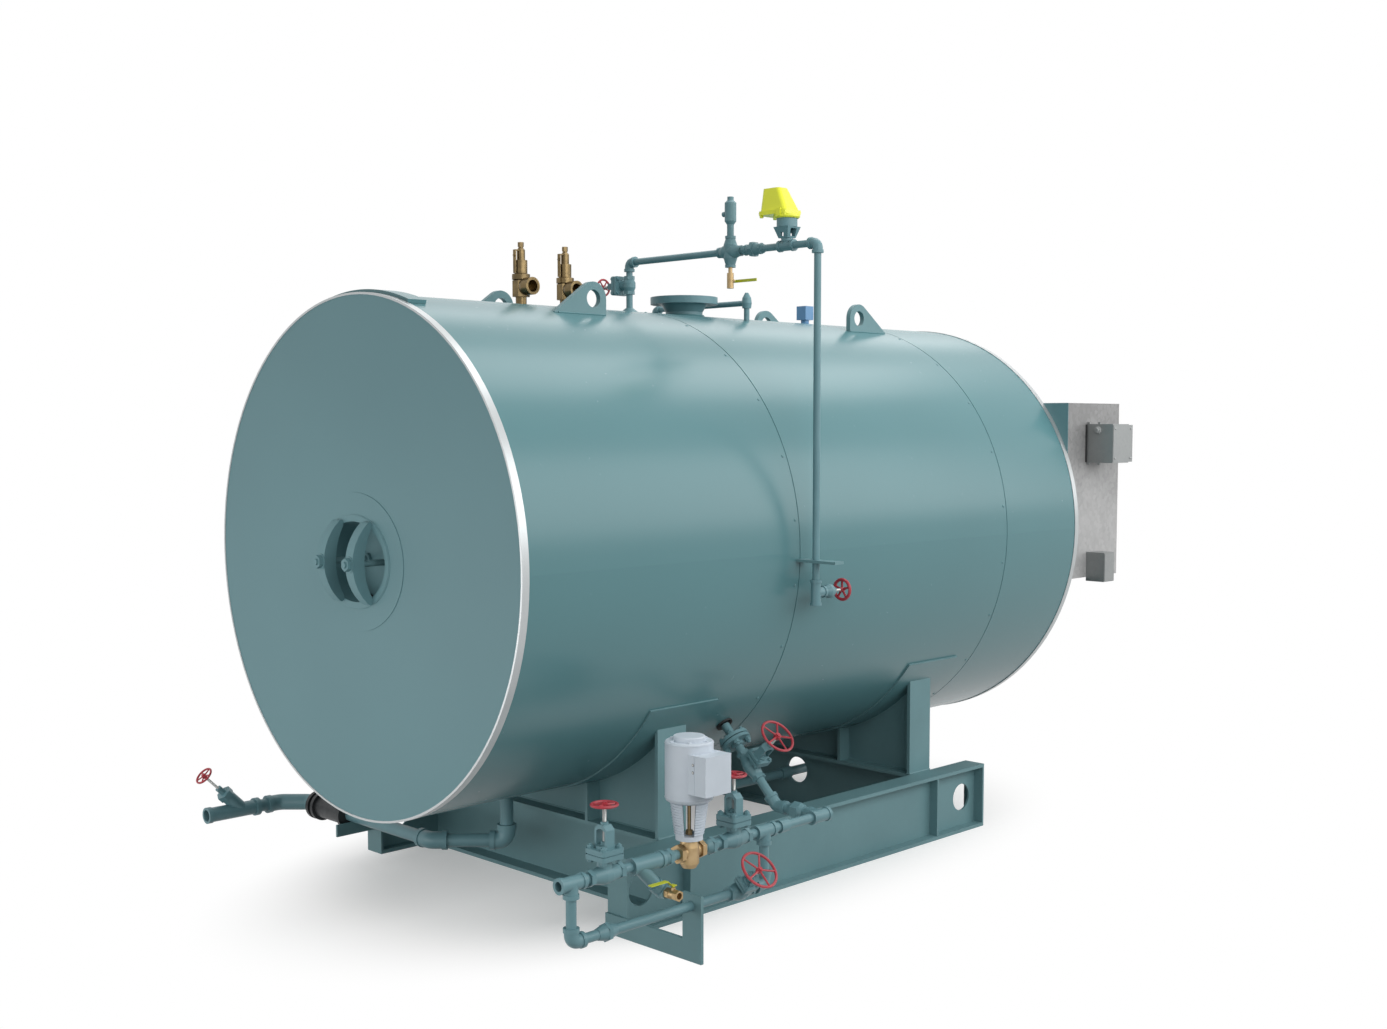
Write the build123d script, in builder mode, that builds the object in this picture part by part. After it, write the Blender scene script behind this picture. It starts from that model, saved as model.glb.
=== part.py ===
from build123d import *
import os
from math import cos, radians, sin, sqrt

# Industrial boiler: a horizontal jacketed vessel on two saddles and a welded skid, with its
# steam nozzle, safety valves, level piping, feed train, blowdown line and rear enclosure.
# Millimetres, +Z up. The origin is on the ground under the vessel's centreline, at the middle
# of the front saddle. The vessel lies along Y with its front head towards -Y, and the feed
# train is on the +X side.

os.makedirs("parts", exist_ok=True)

# Driving sizes of the vessel and of the skid under it
vessel_radius = 750
vessel_length = 2620
front_overhang = 707
saddle_spacing = 1210
beam_height = 225
belly_clearance = 81
shell_wall = 60
head_thickness = 60
head_rim = 6
seam_width = 4
seam_depth = 1.5
mid_seam_place = 350
rear_seam_inset = 465

# Clearances and cuts
seat_gap = 0.3
overrun = 20

# Proportions of fittings to the pipe or bar that they sit on
bend_ratio = 1.08
union_ratio = 1.1
nut_ratio = 1.2
bonnet_ratio = 1.05
barrel_ratio = 1.35
fitting_ratio = 1.3
boss_ratio = 1.6

# Derived places of the vessel
front_y = -front_overhang
rear_y = front_y + vessel_length
axis_height = beam_height + belly_clearance + vessel_radius
crown_z = axis_height + vessel_radius
seat_radius = vessel_radius + seat_gap

X = Vector(1, 0, 0)
Y = Vector(0, 1, 0)
Z = Vector(0, 0, 1)
slant = Vector(1, 0, 1).normalized()

# The riser joins the jacket at 45 degrees, and the feed train hangs from it
riser_inset = 5
riser_drop = 8
cross_run = 165
tail_corner = 258
pocket_depth = 45
pocket_radius = 27
riser_corner_x = vessel_radius - riser_inset
feed_x = riser_corner_x + cross_run
feed_z = axis_height - riser_corner_x - riser_drop
riser_way = Vector(-1, 0, 1).normalized()
riser_foot = Vector(riser_corner_x, tail_corner, feed_z)
riser_to_axis = sqrt(riser_corner_x**2 + (axis_height - feed_z) ** 2)
riser_pocket = riser_foot + riser_way * (riser_to_axis - vessel_radius + pocket_depth)


def surface_z(x, radius=vessel_radius):
    """Height of the top of the jacket at a distance x from the centreline."""
    return axis_height + sqrt(radius**2 - x**2)


def front_plane(y, z=axis_height, x=0):
    """Upright plane facing the front, with x to the right and z up."""
    return Plane(origin=(x, y, z), x_dir=(1, 0, 0), z_dir=(0, -1, 0))


def side_plane(x, y=0, z=0):
    """Upright plane facing +X, with y to the right and z up."""
    return Plane(origin=(x, y, z), x_dir=(0, 1, 0), z_dir=(1, 0, 0))


def rod(start, end, radius, mode=Mode.ADD):
    """Round bar from one point to another."""
    run = Vector(end) - Vector(start)
    with BuildSketch(Plane(origin=start, z_dir=run)) as section:
        Circle(radius)
    extrude(section.sketch, amount=run.length, mode=mode)


def pipe(start, end, radius, start_reach=0, end_reach=0):
    """Pipe between two corners, stopped short of each by the reach of its fitting."""
    way = (Vector(end) - Vector(start)).normalized()
    rod(Vector(start) + way * start_reach, Vector(end) - way * end_reach, radius)


def hex_bar(start, end, radius, mode=Mode.ADD):
    """Six-sided bar from one point to another."""
    run = Vector(end) - Vector(start)
    with BuildSketch(Plane(origin=start, z_dir=run)) as section:
        RegularPolygon(radius, 6)
    extrude(section.sketch, amount=run.length, mode=mode)


def block(low, high, mode=Mode.ADD):
    """Rectangular block between two opposite corners."""
    size = Vector(high) - Vector(low)
    with Locations((Vector(low) + Vector(high)) / 2):
        Box(size.X, size.Y, size.Z, mode=mode)


def turned(origin, direction, outline, mode=Mode.ADD):
    """Solid of revolution: each point of the outline is (radius, distance along the axis)."""
    along = Vector(direction).normalized()
    across = Plane(origin=origin, z_dir=along).x_dir
    with BuildSketch(Plane(origin=origin, x_dir=across, z_dir=across.cross(along))) as section:
        with BuildLine():
            Polyline(*outline, close=True)
        make_face()
    revolve(section.sketch, axis=Axis(origin, along), mode=mode)


def swollen(centre, direction, half, end_radius, radius, flat):
    """Round body about a point: full size over its middle, tapered to both ends."""
    turned(centre, direction,
           [(0, -half), (end_radius, -half), (radius, -flat), (radius, flat), (end_radius, half), (0, half)])


def elbow(corner, leg_a, leg_b, reach, radius, band, band_width):
    """Threaded elbow: one smooth bend and a band at each mouth."""
    corner = Vector(corner)
    start = corner + Vector(leg_a).normalized() * reach
    end = corner + Vector(leg_b).normalized() * reach
    with BuildLine() as path:
        FilletPolyline(start, corner, end, radius=radius * bend_ratio)
    with BuildSketch(Plane(origin=start, z_dir=corner - start)) as section:
        Circle(radius)
    sweep(section.sketch, path=path.line)
    for mouth in (start, end):
        rod(mouth + (corner - mouth).normalized() * band_width, mouth, band)


def tee(centre, run, branch, reach, branch_reach, radius, band, band_width):
    """Threaded tee: a run with a band at each end and one branch."""
    run = Vector(run).normalized()
    for way, length in ((run, reach), (-run, reach), (Vector(branch).normalized(), branch_reach)):
        mouth = Vector(centre) + way * length
        rod(centre, mouth, radius)
        rod(mouth - way * band_width, mouth, band)


def union(centre, run, length, radius, nut_radius, nut_width):
    """Pipe union: a body that swells from the pipe to a six-sided nut in its middle."""
    way = Vector(run).normalized()
    centre = Vector(centre)
    swollen(centre, way, length / 2, radius, nut_radius * 0.85, nut_width / 2)
    hex_bar(centre - way * nut_width / 2, centre + way * nut_width / 2, nut_radius)


def valve_body(centre, run, stem, reach, barrel, neck, flange, plate, yoke_height, yoke_width,
               yoke_depth, arm, stem_radius):
    """Globe valve: swollen barrel, neck, square bonnet and a yoke like a small house, open
    along the pipe, with the hole of the stem through its roof."""
    run = Vector(run).normalized()
    stem = Vector(stem).normalized()
    centre = Vector(centre)
    across = stem.cross(run)
    rod(centre - run * reach, centre + run * reach, barrel)
    for way in (run, -run):
        hex_bar(centre + way * (reach - plate), centre + way * reach, barrel * nut_ratio)
    swollen(centre, run, reach * 0.7, barrel, barrel * barrel_ratio, barrel / 2)
    rod(centre, centre + stem * neck, barrel * bonnet_ratio)
    for level, side in ((0, flange), (plate * 0.45, flange * 0.92), (plate * 0.55, flange)):
        place = Plane(origin=centre + stem * (neck + 2 * level), x_dir=run, z_dir=stem)
        with BuildSketch(place) as bonnet:
            RectangleRounded(side, side, plate / 2)
        extrude(bonnet.sketch, amount=plate * 0.9)
    foot = centre + stem * (neck + 2 * plate)
    half = yoke_width / 2
    bush = 2 * stem_radius
    eave = yoke_height - half + bush
    rod(foot, foot + stem * arm, half)
    with BuildSketch(Plane(origin=foot, x_dir=across, z_dir=run)) as house:
        with BuildLine():
            Polyline((-half, 0), (half, 0), (half, eave), (bush, yoke_height), (-bush, yoke_height),
                     (-half, eave), close=True)
        make_face()
        with BuildLine():
            Polyline((arm - half, arm), (half - arm, arm), (half - arm, eave - arm / 2),
                     (bush / 2, yoke_height - 1.5 * arm), (-bush / 2, yoke_height - 1.5 * arm),
                     (arm - half, eave - arm / 2), close=True)
        make_face(mode=Mode.SUBTRACT)
    extrude(house.sketch, amount=yoke_depth / 2, both=True)
    rod(foot + stem * (yoke_height - arm / 2), foot + stem * (yoke_height + arm), bush)
    rod(foot + stem * arm / 2, foot + stem * (yoke_height + 2 * arm), stem_radius + seat_gap,
        mode=Mode.SUBTRACT)


def hand_wheel(hub, stem, rim_radius, rim_bar, spokes, stem_radius, stem_length):
    """Hand wheel on its stem: an eight-sided rim, spokes, a hub and a nut."""
    stem = Vector(stem).normalized()
    hub = Vector(hub)
    across = Plane(origin=hub, z_dir=stem).x_dir
    beside = stem.cross(across)
    with BuildSketch(Plane(origin=hub, x_dir=across, z_dir=across.cross(stem))) as rim:
        with Locations((rim_radius - rim_bar, 0)):
            RegularPolygon(rim_bar, 8)
    revolve(rim.sketch, axis=Axis(hub, stem))
    for index in range(spokes):
        angle = radians(index * 360 / spokes)
        tip = hub + (across * cos(angle) + beside * sin(angle)) * (rim_radius - rim_bar)
        hex_bar(hub, tip, rim_bar * 0.75)
    rod(hub - stem * 2 * rim_bar, hub + stem * rim_bar, 2 * stem_radius)
    hex_bar(hub + stem * rim_bar, hub + stem * 2 * rim_bar, 1.5 * stem_radius)
    rod(hub - stem * stem_length, hub, stem_radius)


def clear_jacket():
    """Cuts a piece to the outside of the jacket."""
    rod((0, front_y, axis_height), (0, rear_y, axis_height), seat_radius, mode=Mode.SUBTRACT)


# Vessel: an insulated shell, closed by two flat heads
nozzle_y = 608
nozzle_bore = 51
with BuildPart() as vessel_jacket:
    with BuildSketch(front_plane(front_y + head_rim)):
        Circle(vessel_radius)
        Circle(vessel_radius - shell_wall, mode=Mode.SUBTRACT)
    extrude(amount=2 * head_rim - vessel_length)
    for seam_y in (mid_seam_place, rear_y - rear_seam_inset):
        with BuildSketch(front_plane(seam_y)) as groove:
            Circle(vessel_radius + overrun)
            Circle(vessel_radius - seam_depth, mode=Mode.SUBTRACT)
        extrude(groove.sketch, amount=-seam_width, mode=Mode.SUBTRACT)
    rod((0, nozzle_y, axis_height), (0, nozzle_y, crown_z + overrun), nozzle_bore, mode=Mode.SUBTRACT)
    rod(riser_pocket - riser_way * 2 * pocket_depth, riser_pocket, pocket_radius, mode=Mode.SUBTRACT)
vessel_jacket.part.label = "vessel_jacket"
export_step(vessel_jacket.part, "parts/vessel_jacket.step")

# Manway: an oval ring through the front head, closed from inside by a cover plate
manway_drop = 8
manway_z = axis_height - manway_drop
manway_half_width = 152
manway_half_height = 115
manway_wall = 18
manway_proud = 6
manway_depth = 96
cover_thickness = 16
oval_width = 235
oval_height = 198
oval_thickness = 2
ring_front = front_y - manway_proud
ring_rear = ring_front + manway_depth
plug_radius = vessel_radius - shell_wall - seat_gap
with BuildPart() as front_head:
    turned((0, front_y, axis_height), Y,
           [(0, 0), (vessel_radius, 0), (vessel_radius, head_rim), (plug_radius, head_rim),
            (plug_radius, head_thickness), (0, head_thickness)])
    with BuildSketch(front_plane(front_y, manway_z)) as oval:
        Ellipse(oval_width, oval_height)
    extrude(oval.sketch, amount=oval_thickness)
    with BuildSketch(front_plane(front_y + head_thickness + overrun, manway_z)) as hole:
        Ellipse(manway_half_width + manway_wall + seat_gap, manway_half_height + manway_wall + seat_gap)
    extrude(hole.sketch, amount=head_thickness + 2 * overrun, mode=Mode.SUBTRACT)
front_head.part.label = "front_head"
export_step(front_head.part, "parts/front_head.step")

with BuildPart() as manway_ring:
    with BuildSketch(front_plane(ring_front, manway_z)):
        Ellipse(manway_half_width + manway_wall, manway_half_height + manway_wall)
        Ellipse(manway_half_width, manway_half_height, mode=Mode.SUBTRACT)
    extrude(amount=-manway_depth)
manway_ring.part.label = "manway_ring"
export_step(manway_ring.part, "parts/manway_ring.step")

# Yokes: two crescent bars that bear on the ring, each with the stud that holds the cover
yoke_offset = 73
yoke_width = 37
yoke_rise = 65
yoke_inner_rise = 26
yoke_foot = 24
stud_radius = 9
stud_reach = 84
nut_radius = 19
nut_height = 14
yoke_span = manway_half_height * sqrt(1 - (yoke_offset / manway_half_width) ** 2)
with BuildPart() as manway_yokes:
    for side in (-1, 1):
        yoke_x = side * yoke_offset
        with BuildSketch(side_plane(yoke_x - yoke_width / 2, ring_front, manway_z)) as crescent:
            with BuildLine():
                ThreePointArc((0, yoke_span + yoke_foot), (-yoke_rise, 0), (0, -yoke_span - yoke_foot))
                Line((0, -yoke_span - yoke_foot), (0, -yoke_span))
                ThreePointArc((0, -yoke_span), (-yoke_inner_rise, 0), (0, yoke_span))
                Line((0, yoke_span), (0, yoke_span + yoke_foot))
            make_face()
            tips = crescent.vertices().sort_by(Axis.Y)
            fillet([tips[0], tips[-1]], yoke_foot / 3)
        extrude(crescent.sketch, amount=yoke_width)
        rod((yoke_x, ring_front, manway_z), (yoke_x, ring_front - yoke_rise - overrun, manway_z),
            stud_radius + seat_gap, mode=Mode.SUBTRACT)
manway_yokes.part.label = "manway_yokes"
export_step(manway_yokes.part, "parts/manway_yokes.step")

# Cover plate behind the ring, with its two studs through the yokes
with BuildPart() as manway_cover:
    with BuildSketch(front_plane(ring_rear, manway_z)):
        Ellipse(manway_half_width + manway_wall / 2, manway_half_height + manway_wall / 2)
    extrude(amount=-cover_thickness)
    for side in (-1, 1):
        yoke_x = side * yoke_offset
        rod((yoke_x, ring_rear + cover_thickness, manway_z), (yoke_x, ring_front - stud_reach, manway_z),
            stud_radius)
        hex_bar((yoke_x, ring_front - yoke_rise, manway_z),
                (yoke_x, ring_front - yoke_rise - nut_height, manway_z), nut_radius)
manway_cover.part.label = "manway_cover"
export_step(manway_cover.part, "parts/manway_cover.step")

# Rear head, which carries the enclosure
with BuildPart() as rear_head:
    turned((0, rear_y, axis_height), -Y,
           [(0, 0), (vessel_radius, 0), (vessel_radius, head_rim), (plug_radius, head_rim),
            (plug_radius, head_thickness), (0, head_thickness)])
rear_head.part.label = "rear_head"
export_step(rear_head.part, "parts/rear_head.step")

# Rim trims: bright angle rings round both ends
trim_thickness = 2
trim_face = 4
trim_skirt = 21
trim_outer = seat_radius + trim_thickness
with BuildPart() as rim_trims:
    for rim_y, way in ((front_y, -Y), (rear_y, Y)):
        turned((0, rim_y, axis_height), way,
               [(vessel_radius - trim_face, 0), (vessel_radius - trim_face, trim_thickness),
                (trim_outer, trim_thickness), (trim_outer, -trim_skirt),
                (seat_radius, -trim_skirt), (seat_radius, 0)])
rim_trims.part.label = "rim_trims"
export_step(rim_trims.part, "parts/rim_trims.step")

# Rim flashing: a short curved strap on the crown, behind the front trim
strap_half_turn = 18.5
strap_thickness = 11
strap_width = 60
strap_outer = seat_radius + strap_thickness
with BuildPart() as rim_flashing:
    with BuildSketch(front_plane(front_y + trim_skirt + seat_gap)):
        Circle(strap_outer)
        Circle(seat_radius, mode=Mode.SUBTRACT)
        strap_side = 2 * strap_outer * sin(radians(strap_half_turn))
        strap_top = 2 * strap_outer * cos(radians(strap_half_turn))
        with BuildLine():
            Polyline((0, 0), (strap_side, strap_top), (-strap_side, strap_top), close=True)
        make_face(mode=Mode.INTERSECT)
    extrude(amount=-strap_width)
rim_flashing.part.label = "rim_flashing"
export_step(rim_flashing.part, "parts/rim_flashing.step")

# Lifting lugs: four plates along the vessel, each pair facing the other
lug_offset = 225
lug_thickness = 18
lug_radius = 51
lug_hole = 27
lug_rise = 46
lug_tail = 153
front_lug_y = -9
rear_lug_y = 1264
lug_base_z = surface_z(lug_offset)
with BuildPart() as lifting_lugs:
    for lug_y, tail_way in ((front_lug_y, -1), (rear_lug_y, 1)):
        for side in (-1, 1):
            lug_x = side * lug_offset - lug_thickness / 2
            with BuildSketch(side_plane(lug_x, lug_y, lug_base_z + lug_rise)) as lug:
                with BuildLine() as lug_outline:
                    CenterArc((0, 0), lug_radius, 0, 360)
                    Polyline((-tail_way * lug_radius, 0), (-tail_way * lug_radius, -lug_rise),
                             (tail_way * lug_tail, -lug_rise), close=True)
                make_hull()
                with Locations((tail_way * (lug_tail - lug_radius) / 2, -1.5 * lug_rise)):
                    Rectangle(lug_tail + lug_radius, lug_rise)
                Circle(lug_hole, mode=Mode.SUBTRACT)
            extrude(lug.sketch, amount=lug_thickness)
    clear_jacket()
lifting_lugs.part.label = "lifting_lugs"
export_step(lifting_lugs.part, "parts/lifting_lugs.step")

# Skid: two long beams with end plates, stiffeners and lifting holes
beam_flange = 80
beam_flange_thickness = 12
beam_web = 7
skid_half_width = 647
beam_front_reach = 260
beam_rear_reach = 270
end_plate = 8
stiffener = 8
web_hole = 47.5
web_hole_inset = 88
beam_front = -beam_front_reach
beam_rear = saddle_spacing + beam_rear_reach
beam_centre = skid_half_width - beam_flange / 2
beam_inner = skid_half_width - beam_flange
with BuildPart() as skid_beams:
    for side in (-1, 1):
        with BuildSketch(front_plane(beam_front + end_plate, beam_height / 2, side * beam_centre)) as beam:
            Rectangle(beam_flange, beam_height)
            with Locations((-beam_flange / 2 - beam_web / 2, 0), (beam_flange / 2 + beam_web / 2, 0)):
                Rectangle(beam_flange, beam_height - 2 * beam_flange_thickness, mode=Mode.SUBTRACT)
        extrude(beam.sketch, amount=beam_front - beam_rear + 2 * end_plate)
        for plate_y in (beam_front, beam_rear - end_plate):
            block((side * beam_centre - beam_flange / 2, plate_y, 0),
                  (side * beam_centre + beam_flange / 2, plate_y + end_plate, beam_height))
        for plate_y in (0, saddle_spacing):
            outer = side * (skid_half_width - stiffener / 2)
            low_x = min(side * beam_centre, outer)
            high_x = max(side * beam_centre, outer)
            block((low_x, plate_y - stiffener / 2, beam_flange_thickness),
                  (high_x, plate_y + stiffener / 2, beam_height - beam_flange_thickness))
        for hole_y in (beam_front + web_hole_inset, beam_rear - web_hole_inset):
            rod((side * beam_centre - beam_flange, hole_y, beam_height / 2),
                (side * beam_centre + beam_flange, hole_y, beam_height / 2), web_hole, mode=Mode.SUBTRACT)
skid_beams.part.label = "skid_beams"
export_step(skid_beams.part, "parts/skid_beams.step")

# Cross beams: they tie the long beams and carry the saddles
cross_flange = 116
cross_web = 8
drain_z = 145
drain_hole = 48
with BuildPart() as cross_beams:
    for cross_y in (0, saddle_spacing):
        with BuildSketch(side_plane(-beam_inner, cross_y, beam_height / 2)) as beam:
            Rectangle(cross_flange, beam_height)
            with Locations((-cross_flange / 2 - cross_web / 2, 0), (cross_flange / 2 + cross_web / 2, 0)):
                Rectangle(cross_flange, beam_height - 2 * beam_flange_thickness, mode=Mode.SUBTRACT)
        extrude(beam.sketch, amount=2 * beam_inner)
        tongue = beam_centre - beam_web / 2
        block((-tongue, cross_y - cross_web / 2, beam_flange_thickness),
              (tongue, cross_y + cross_web / 2, beam_height - beam_flange_thickness))
    rod((0, saddle_spacing - cross_web - overrun, drain_z), (0, saddle_spacing + cross_web + overrun, drain_z),
        drain_hole, mode=Mode.SUBTRACT)
cross_beams.part.label = "cross_beams"
export_step(cross_beams.part, "parts/cross_beams.step")

# Saddles: web, end plates and gussets under a curved wear plate
saddle_plate = 12
saddle_half_width = 562
saddle_depth = 116
wear_thickness = 5
wear_half_turn = 55
wear_width = 276
gusset_spacing = 250
wear_outer = seat_radius + wear_thickness
with BuildPart() as saddles:
    for saddle_y in (0, saddle_spacing):
        block((-saddle_half_width, saddle_y - saddle_plate / 2, beam_height),
              (saddle_half_width, saddle_y + saddle_plate / 2, axis_height))
        for place in (-saddle_half_width, -gusset_spacing, gusset_spacing - saddle_plate,
                      saddle_half_width - saddle_plate):
            block((place, saddle_y - saddle_depth / 2, beam_height),
                  (place + saddle_plate, saddle_y + saddle_depth / 2, axis_height))
        rod((0, saddle_y - saddle_depth, axis_height), (0, saddle_y + saddle_depth, axis_height),
            seat_radius + wear_thickness / 2, mode=Mode.SUBTRACT)
        with BuildSketch(front_plane(saddle_y - wear_width / 2)) as wear:
            Circle(wear_outer)
            Circle(seat_radius, mode=Mode.SUBTRACT)
            wear_side = 2 * wear_outer * sin(radians(wear_half_turn))
            wear_drop = 2 * wear_outer * cos(radians(wear_half_turn))
            with BuildLine():
                Polyline((0, 0), (wear_side, -wear_drop), (-wear_side, -wear_drop), close=True)
            make_face(mode=Mode.INTERSECT)
        extrude(wear.sketch, amount=-wear_width)
saddles.part.label = "saddles"
export_step(saddles.part, "parts/saddles.step")

# Steam nozzle: weld-neck flange on the crown, with eight bolt holes
nozzle_flange_radius = 114.5
nozzle_flange = 24
nozzle_height = 62
nozzle_hub_radius = 78
nozzle_neck_radius = 63
nozzle_bolt_ring = 95.25
nozzle_bolt_hole = 9.5
nozzle_bolts = 8
nozzle_face_radius = 78.5
nozzle_face = 2
with BuildPart() as steam_nozzle:
    turned((0, nozzle_y, crown_z), Z,
           [(0, -nozzle_flange), (nozzle_neck_radius, -nozzle_flange), (nozzle_neck_radius, nozzle_flange / 2),
            (nozzle_hub_radius, nozzle_height - nozzle_flange),
            (nozzle_flange_radius, nozzle_height - nozzle_flange), (nozzle_flange_radius, nozzle_height),
            (nozzle_face_radius, nozzle_height), (nozzle_face_radius, nozzle_height + nozzle_face),
            (0, nozzle_height + nozzle_face)])
    clear_jacket()
    rod((0, nozzle_y, axis_height), (0, nozzle_y, crown_z + nozzle_height + overrun), nozzle_bore,
        mode=Mode.SUBTRACT)
    with BuildSketch(Plane.XY.offset(crown_z + nozzle_height + nozzle_face)) as bolts:
        with Locations((0, nozzle_y)):
            with PolarLocations(nozzle_bolt_ring, nozzle_bolts, start_angle=360 / nozzle_bolts / 2):
                Circle(nozzle_bolt_hole)
    extrude(bolts.sketch, amount=-nozzle_flange - 2 * nozzle_face, mode=Mode.SUBTRACT)
steam_nozzle.part.label = "steam_nozzle"
export_step(steam_nozzle.part, "parts/steam_nozzle.step")

# Safety valves: brass angle valves with a hexagon base, a side outlet, a cap and a lever
safety_places = (-100, 78)
safety_inlet = 17
safety_inlet_height = 24
safety_base = 27
safety_base_height = 50
safety_ring = 28
safety_ring_height = 22
safety_bonnet = 20
safety_bonnet_height = 40
safety_cap = 13
safety_cap_height = 41
safety_nut = 9.5
safety_nut_height = 14
safety_outlet_rise = 55
safety_outlet_reach = 58
safety_outlet_radius = 27
safety_outlet_bore = 21
safety_lever = 3
safety_lever_width = 12
safety_lever_offset = 26
base_top = safety_inlet_height + safety_base_height
ring_top = base_top + safety_ring_height
bonnet_top = ring_top + safety_bonnet_height
cap_top = bonnet_top + safety_cap_height
with BuildPart() as safety_valves:
    for valve_y in safety_places:
        foot = Vector(0, valve_y, crown_z)
        rod(foot - Z * safety_inlet_height, foot + Z * safety_inlet_height, safety_inlet)
        hex_bar(foot + Z * safety_inlet_height, foot + Z * base_top, safety_base)
        turned(foot, Z,
               [(0, base_top), (safety_bonnet, base_top), (safety_ring, base_top + safety_lever),
                (safety_ring, ring_top - safety_lever), (safety_bonnet, ring_top), (safety_bonnet, bonnet_top),
                (safety_cap, bonnet_top), (safety_cap, cap_top - safety_nut),
                (safety_nut * 0.8, cap_top - safety_lever), (safety_nut * 0.8, cap_top), (0, cap_top)])
        hex_bar(foot + Z * cap_top, foot + Z * (cap_top + safety_nut_height), safety_nut)
        mouth = foot + Z * safety_outlet_rise + X * safety_outlet_reach
        turned(foot + Z * safety_outlet_rise, X,
               [(0, 0), (safety_bonnet, 0), (safety_bonnet, safety_base),
                (safety_outlet_radius, safety_outlet_reach / 2), (safety_outlet_radius, safety_outlet_reach),
                (0, safety_outlet_reach)])
        rod(foot + Z * safety_outlet_rise + X * safety_bonnet, mouth + X * overrun, safety_outlet_bore,
            mode=Mode.SUBTRACT)
        lever_y = valve_y - safety_lever_offset
        block((-safety_lever_width / 2, lever_y, crown_z + ring_top),
              (safety_lever_width / 2, lever_y + safety_lever, crown_z + cap_top - safety_nut))
        block((-safety_lever_width / 2, lever_y, crown_z + cap_top - safety_nut - safety_lever),
              (safety_lever_width / 2, valve_y, crown_z + cap_top - safety_nut))
    clear_jacket()
safety_valves.part.label = "safety_valves"
export_step(safety_valves.part, "parts/safety_valves.step")

# Small level piping, of half-inch pipe
small_pipe = 10.65
small_fitting = 15
small_band = 17.5
small_band_width = 9
small_reach = 30
small_inside = small_reach - small_band_width
level_y = 355
level_rise = 162
level_run = vessel_radius + 2 * small_reach
level_z = crown_z + level_rise

# Isolating valve on the riser from the crown
stack_rise = 88
stack_z = crown_z + stack_rise
small_stem = 4
isolating_neck = 34
isolating_flange = 62
isolating_plate = 11
isolating_yoke = 40
isolating_yoke_width = 34
isolating_yoke_depth = 20
small_arm = 5
with BuildPart() as isolating_valve:
    turned((0, level_y, crown_z), Z,
           [(0, -small_fitting), (2 * small_fitting, -small_fitting), (2 * small_fitting, 0),
            (small_pipe, small_fitting), (0, small_fitting)])
    rod((0, level_y, crown_z), (0, level_y, level_z - small_reach), small_pipe)
    valve_body((0, level_y, stack_z), Z, -X, small_reach, small_fitting, isolating_neck, isolating_flange,
               isolating_plate, isolating_yoke, isolating_yoke_width, isolating_yoke_depth, small_arm,
               small_stem)
    clear_jacket()
isolating_valve.part.label = "isolating_valve"
export_step(isolating_valve.part, "parts/isolating_valve.step")

# Crossover pipe along X: elbow, cross, union, tee and elbow
cross_place = 352
union_place = 254
tee_place = 120
cross_reach = 48
cross_end = 12.5
cross_body = 21
level_branch = 22
cross_x = level_run - cross_place
union_x = level_run - union_place
tee_x = level_run - tee_place
with BuildPart() as crossover_pipe:
    elbow((0, level_y, level_z), X, -Z, small_reach, small_fitting, small_band, small_band_width)
    pipe((0, level_y, level_z), (level_run, level_y, level_z), small_pipe, small_inside, small_inside)
    for way in (X, Z):
        swollen((cross_x, level_y, level_z), way, cross_reach, cross_end, cross_body, cross_body)
    union((union_x, level_y, level_z), X, 5 * small_band, small_pipe * union_ratio, small_band * nut_ratio,
          small_band)
    tee((tee_x, level_y, level_z), X, Z, small_reach, level_branch, small_fitting, small_band, small_band_width)
    elbow((level_run, level_y, level_z), -X, -Z, small_reach, small_fitting, small_band, small_band_width)
crossover_pipe.part.label = "crossover_pipe"
export_step(crossover_pipe.part, "parts/crossover_pipe.step")

# Vent on top of the cross
vent_rise = 82
vent_body = 18
vent_height = 85
vent_neck = 10
vent_nub = 8
with BuildPart() as vent_valve:
    vent_foot = Vector(cross_x, level_y, level_z + vent_rise)
    rod((cross_x, level_y, level_z + cross_reach), vent_foot, small_pipe)
    turned(vent_foot, Z,
           [(0, 0), (small_pipe, 0), (vent_body, small_pipe), (vent_body, vent_height - vent_body),
            (vent_neck, vent_height - vent_neck), (vent_neck, vent_height), (0, vent_height)])
    nub_foot = vent_foot + Z * vent_height * 0.4
    rod(nub_foot, nub_foot - X * (vent_body + vent_nub), vent_nub / 2)
    swollen(nub_foot - X * (vent_body + vent_nub), X, vent_nub, vent_nub / 2, vent_nub, vent_nub / 2)
vent_valve.part.label = "vent_valve"
export_step(vent_valve.part, "parts/vent_valve.step")

# Lever of the drain valve under the cross, on the rear side of its body
drain_stub = 17
drain_body = 10.5
drain_length = 47
drain_stub_radius = 6.5
drain_bore = 4
lever_stem = 4
lever_length = 87
lever_width = 9
lever_thickness = 3
lever_standoff = 11
drain_top = level_z - cross_reach - drain_stub
drain_middle = drain_top - drain_length / 2
with BuildPart() as drain_lever:
    lever_face = level_y + drain_body + lever_stem + seat_gap
    rod((cross_x, lever_face, drain_middle), (cross_x, lever_face + lever_standoff, drain_middle), lever_stem)
    lever_outside = lever_face + lever_standoff
    block((cross_x - lever_width, lever_outside - lever_thickness, drain_middle - lever_width / 2),
          (cross_x + lever_length, lever_outside, drain_middle + lever_width / 2))
drain_lever.part.label = "drain_lever"
export_step(drain_lever.part, "parts/drain_lever.step")

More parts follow.
